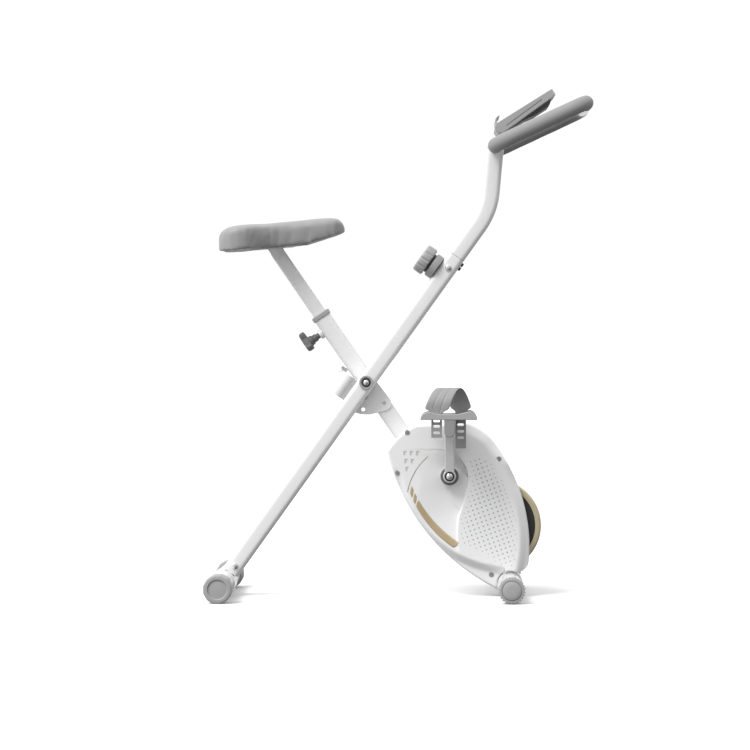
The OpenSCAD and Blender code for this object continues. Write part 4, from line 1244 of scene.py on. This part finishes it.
def pivot_fittings():
    """The pivot's grey caps, its socket bolt on the near side and its nut on the far side."""
    near = -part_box("pivot_washers")[0].y * 1000
    place = side(PIVOT)
    cap = lathe([(6.2, near - 3.8), (15, near - 3.8), (15.2, near - 3), (15.2, near - 1.2),
                 (14.6, near - 0.2), (12.6, near), (11.4, near - 0.9), (10.4, near - 1.4),
                 (6.2, near - 1.4)], 64)
    put(cap, "pivot_cap_right", place, "rear_frame", "plastic", ("pivot_washers",))
    well = lathe([(6.3, near - 1.6), (10.2, near - 1.6), (10.2, near - 0.9), (6.3, near - 0.9)], 48)
    put(well, "pivot_ring", place, "rear_frame", "black")
    head = domed_head(6.3, near - 1.6, 6)
    put(head, "pivot_head", place, "rear_frame", "chrome", ("pivot_bolt",))
    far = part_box("pivot_washers")[1].y * 1000
    back = lathe([(6.2, -far), (14.6, -far), (15, -far + 0.6), (15, -far + 3.2), (6.2, -far + 3.2)], 64)
    put(back, "pivot_cap_left", place, "rear_frame", "plastic")
    shank = lathe([(0, -far - 6), (5.9, -far - 6), (5.9, near - 2), (0, near - 2)], 40)
    put(shank, "pivot_shank", place, "rear_frame", "zinc")
    nut = moved(hex_head(10, 7.5), shift(z=-far) @ spin("X", 180))
    put(nut, "pivot_nut", place, "rear_frame", "zinc")


pivot_fittings()


TUBE_WIDTH, TUBE_DEPTH = 38, 34


def frame_bolts():
    """Bright domed heads on the leg's near face, and two dark screws in its front face."""
    near = -LEG_Y * 1000 + TUBE_DEPTH / 2
    for label, distance, replaced in (("post", 0.306, "post_bolts"), ("rear", -0.491, "rear_bolt")):
        place = side(along_leg(distance).translation)
        head = domed_head(7, near, 5)
        put(head, label + "_bolt_head", place, "rear_frame", "chrome", (replaced,))
        nut = moved(hex_head(7.5, 5), shift(z=near - TUBE_DEPTH) @ spin("X", 180))
        put(nut, label + "_bolt_nut", place, "rear_frame", "zinc")
    for number, distance in enumerate((0.318, 0.328)):
        place = along_leg(distance) @ spin("Y", 90)
        screw = lathe([(0, 17), (1.8, 17), (1.8, 19), (4.3, 19), (4.5, 19.6), (4.3, 22.4),
                       (3.4, 23.4), (0, 23.6)], 32)
        put(screw, f"post_screw_{number + 1}", place, "rear_frame", "black")


frame_bolts()


def frame_tubes():
    """The two crossing tubes and the seat post, as hollow tubes."""
    pieces = (
        ("main_tube_skin", along_leg(0), "rear_frame", TUBE_WIDTH, TUBE_DEPTH, 11, -508, POST_SEAM,
         "main_tube"),
        ("seat_tube_skin", along_seat_tube(0), "front_frame", TUBE_WIDTH, TUBE_DEPTH, 11, -180, 170,
         "seat_tube"),
        ("seat_post_skin", along_seat_tube(0), "seat", 30, 26, 6, 66, 347.5, "seat_post"))
    for name, place, body, width, depth, corner, low, high, node in pieces:
        bore = rounded_box(width - 4, depth - 4, corner - 2, 8)
        tube = prism(rounded_box(width, depth, corner, 10), low, high, [bore])
        put(tube, name, place, body, "paint", (node,), sharp=50)
    place = along_seat_tube(0.143) @ spin("Y", -90)
    boss = lathe([(4.7, 18.4), (11, 18.4), (11, 25.6), (10.2, 26.6), (4.7, 26.6)], 48)
    put(boss, "seat_tube_boss", place, "front_frame", "paint")


frame_tubes()

CARRIED = {
    "paint": ["lower_frame", "front_bar", "front_bracket", "handlebar", "bar_sleeve", "rear_bar",
              "stop_tube"],
    "plate_paint": ["tray_bracket", "rear_bracket", "lock_plate", "seat_bracket"],
    "zinc": ["crank_bearings", "flywheel_axle", "front_bolts", "wheel_axles", "stop_bolt", "fold_pin",
             "spindle_right", "spindle_left", "magnet_arm"],
    "black": ["drive_belt", "cable_grommet", "crank_pulley", "saddle_base"],
}
for key, names in CARRIED.items():
    for node in names:
        mesh = NODES[node].data
        mesh.materials.clear()
        mesh.materials.append(M[key])


# ---------------------------------------------------------------- floor, lights and camera

def studio():
    """A plain pale floor and soft light: brightest above, behind and to the left, dim below."""
    bm = bmesh.new()
    bmesh.ops.create_grid(bm, x_segments=8, y_segments=8, size=30)
    mesh = bpy.data.meshes.new("floor")
    bm.to_mesh(mesh)
    bm.free()
    n = Nodes("pale_floor")
    n.colour(n.noise(3, 2), (0.93, 0.93, 0.93, 1), (0.95, 0.95, 0.95, 1))
    n.set(roughness=0.9, specular_ior_level=0.1)
    mesh.materials.append(n.mat)
    floor = add_object("floor", mesh)
    floor.visible_diffuse = False
    floor.visible_glossy = False
    world = bpy.data.worlds.new("studio")
    bpy.context.scene.world = world
    world.use_nodes = True
    tree = world.node_tree
    place = tree.nodes.new("ShaderNodeTexCoord")
    lean = tree.nodes.new("ShaderNodeVectorMath")
    lean.operation = "DOT_PRODUCT"
    lean.inputs[1].default_value = SKY_LEAN
    ramp = tree.nodes.new("ShaderNodeMapRange")
    for key, value in (("From Min", -0.9), ("From Max", 0.28), ("To Min", SKY_LOW),
                       ("To Max", SKY_TOP)):
        ramp.inputs[key].default_value = value
    tree.links.new(place.outputs["Generated"], lean.inputs[0])
    tree.links.new(lean.outputs["Value"], ramp.inputs["Value"])
    tree.links.new(ramp.outputs["Result"], tree.nodes["Background"].inputs["Strength"])
    tree.nodes["Background"].inputs["Color"].default_value = (1, 1, 1, 1)
    lamp = bpy.data.lights.new("key", "SUN")
    lamp.angle = math.radians(28)
    lamp.energy = KEY_POWER
    sun = add_object("key", lamp)
    sun.rotation_euler = (-Vector(KEY_FROM)).to_track_quat("-Z", "Y").to_euler()
    camera = bpy.data.cameras.new("camera")
    camera.lens = LENS
    camera.sensor_width = 36
    eye = add_object("camera", camera)
    eye.location = EYE
    eye.rotation_euler = (Vector(AIM) - Vector(EYE)).to_track_quat("-Z", "Y").to_euler()
    bpy.context.scene.camera = eye
    bpy.context.scene.view_settings.view_transform = "Standard"


SKY_LOW, SKY_TOP = 0.10, 1.03
SKY_LEAN = (-0.50, 0.35, 0.80)
KEY_FROM = (-0.45, -0.45, 0.77)
KEY_POWER = 2.2
LENS = 151.5
EYE = (0.1005, -6.88, 0.631)
AIM = (-0.0545, 0.0, 0.481)


studio()
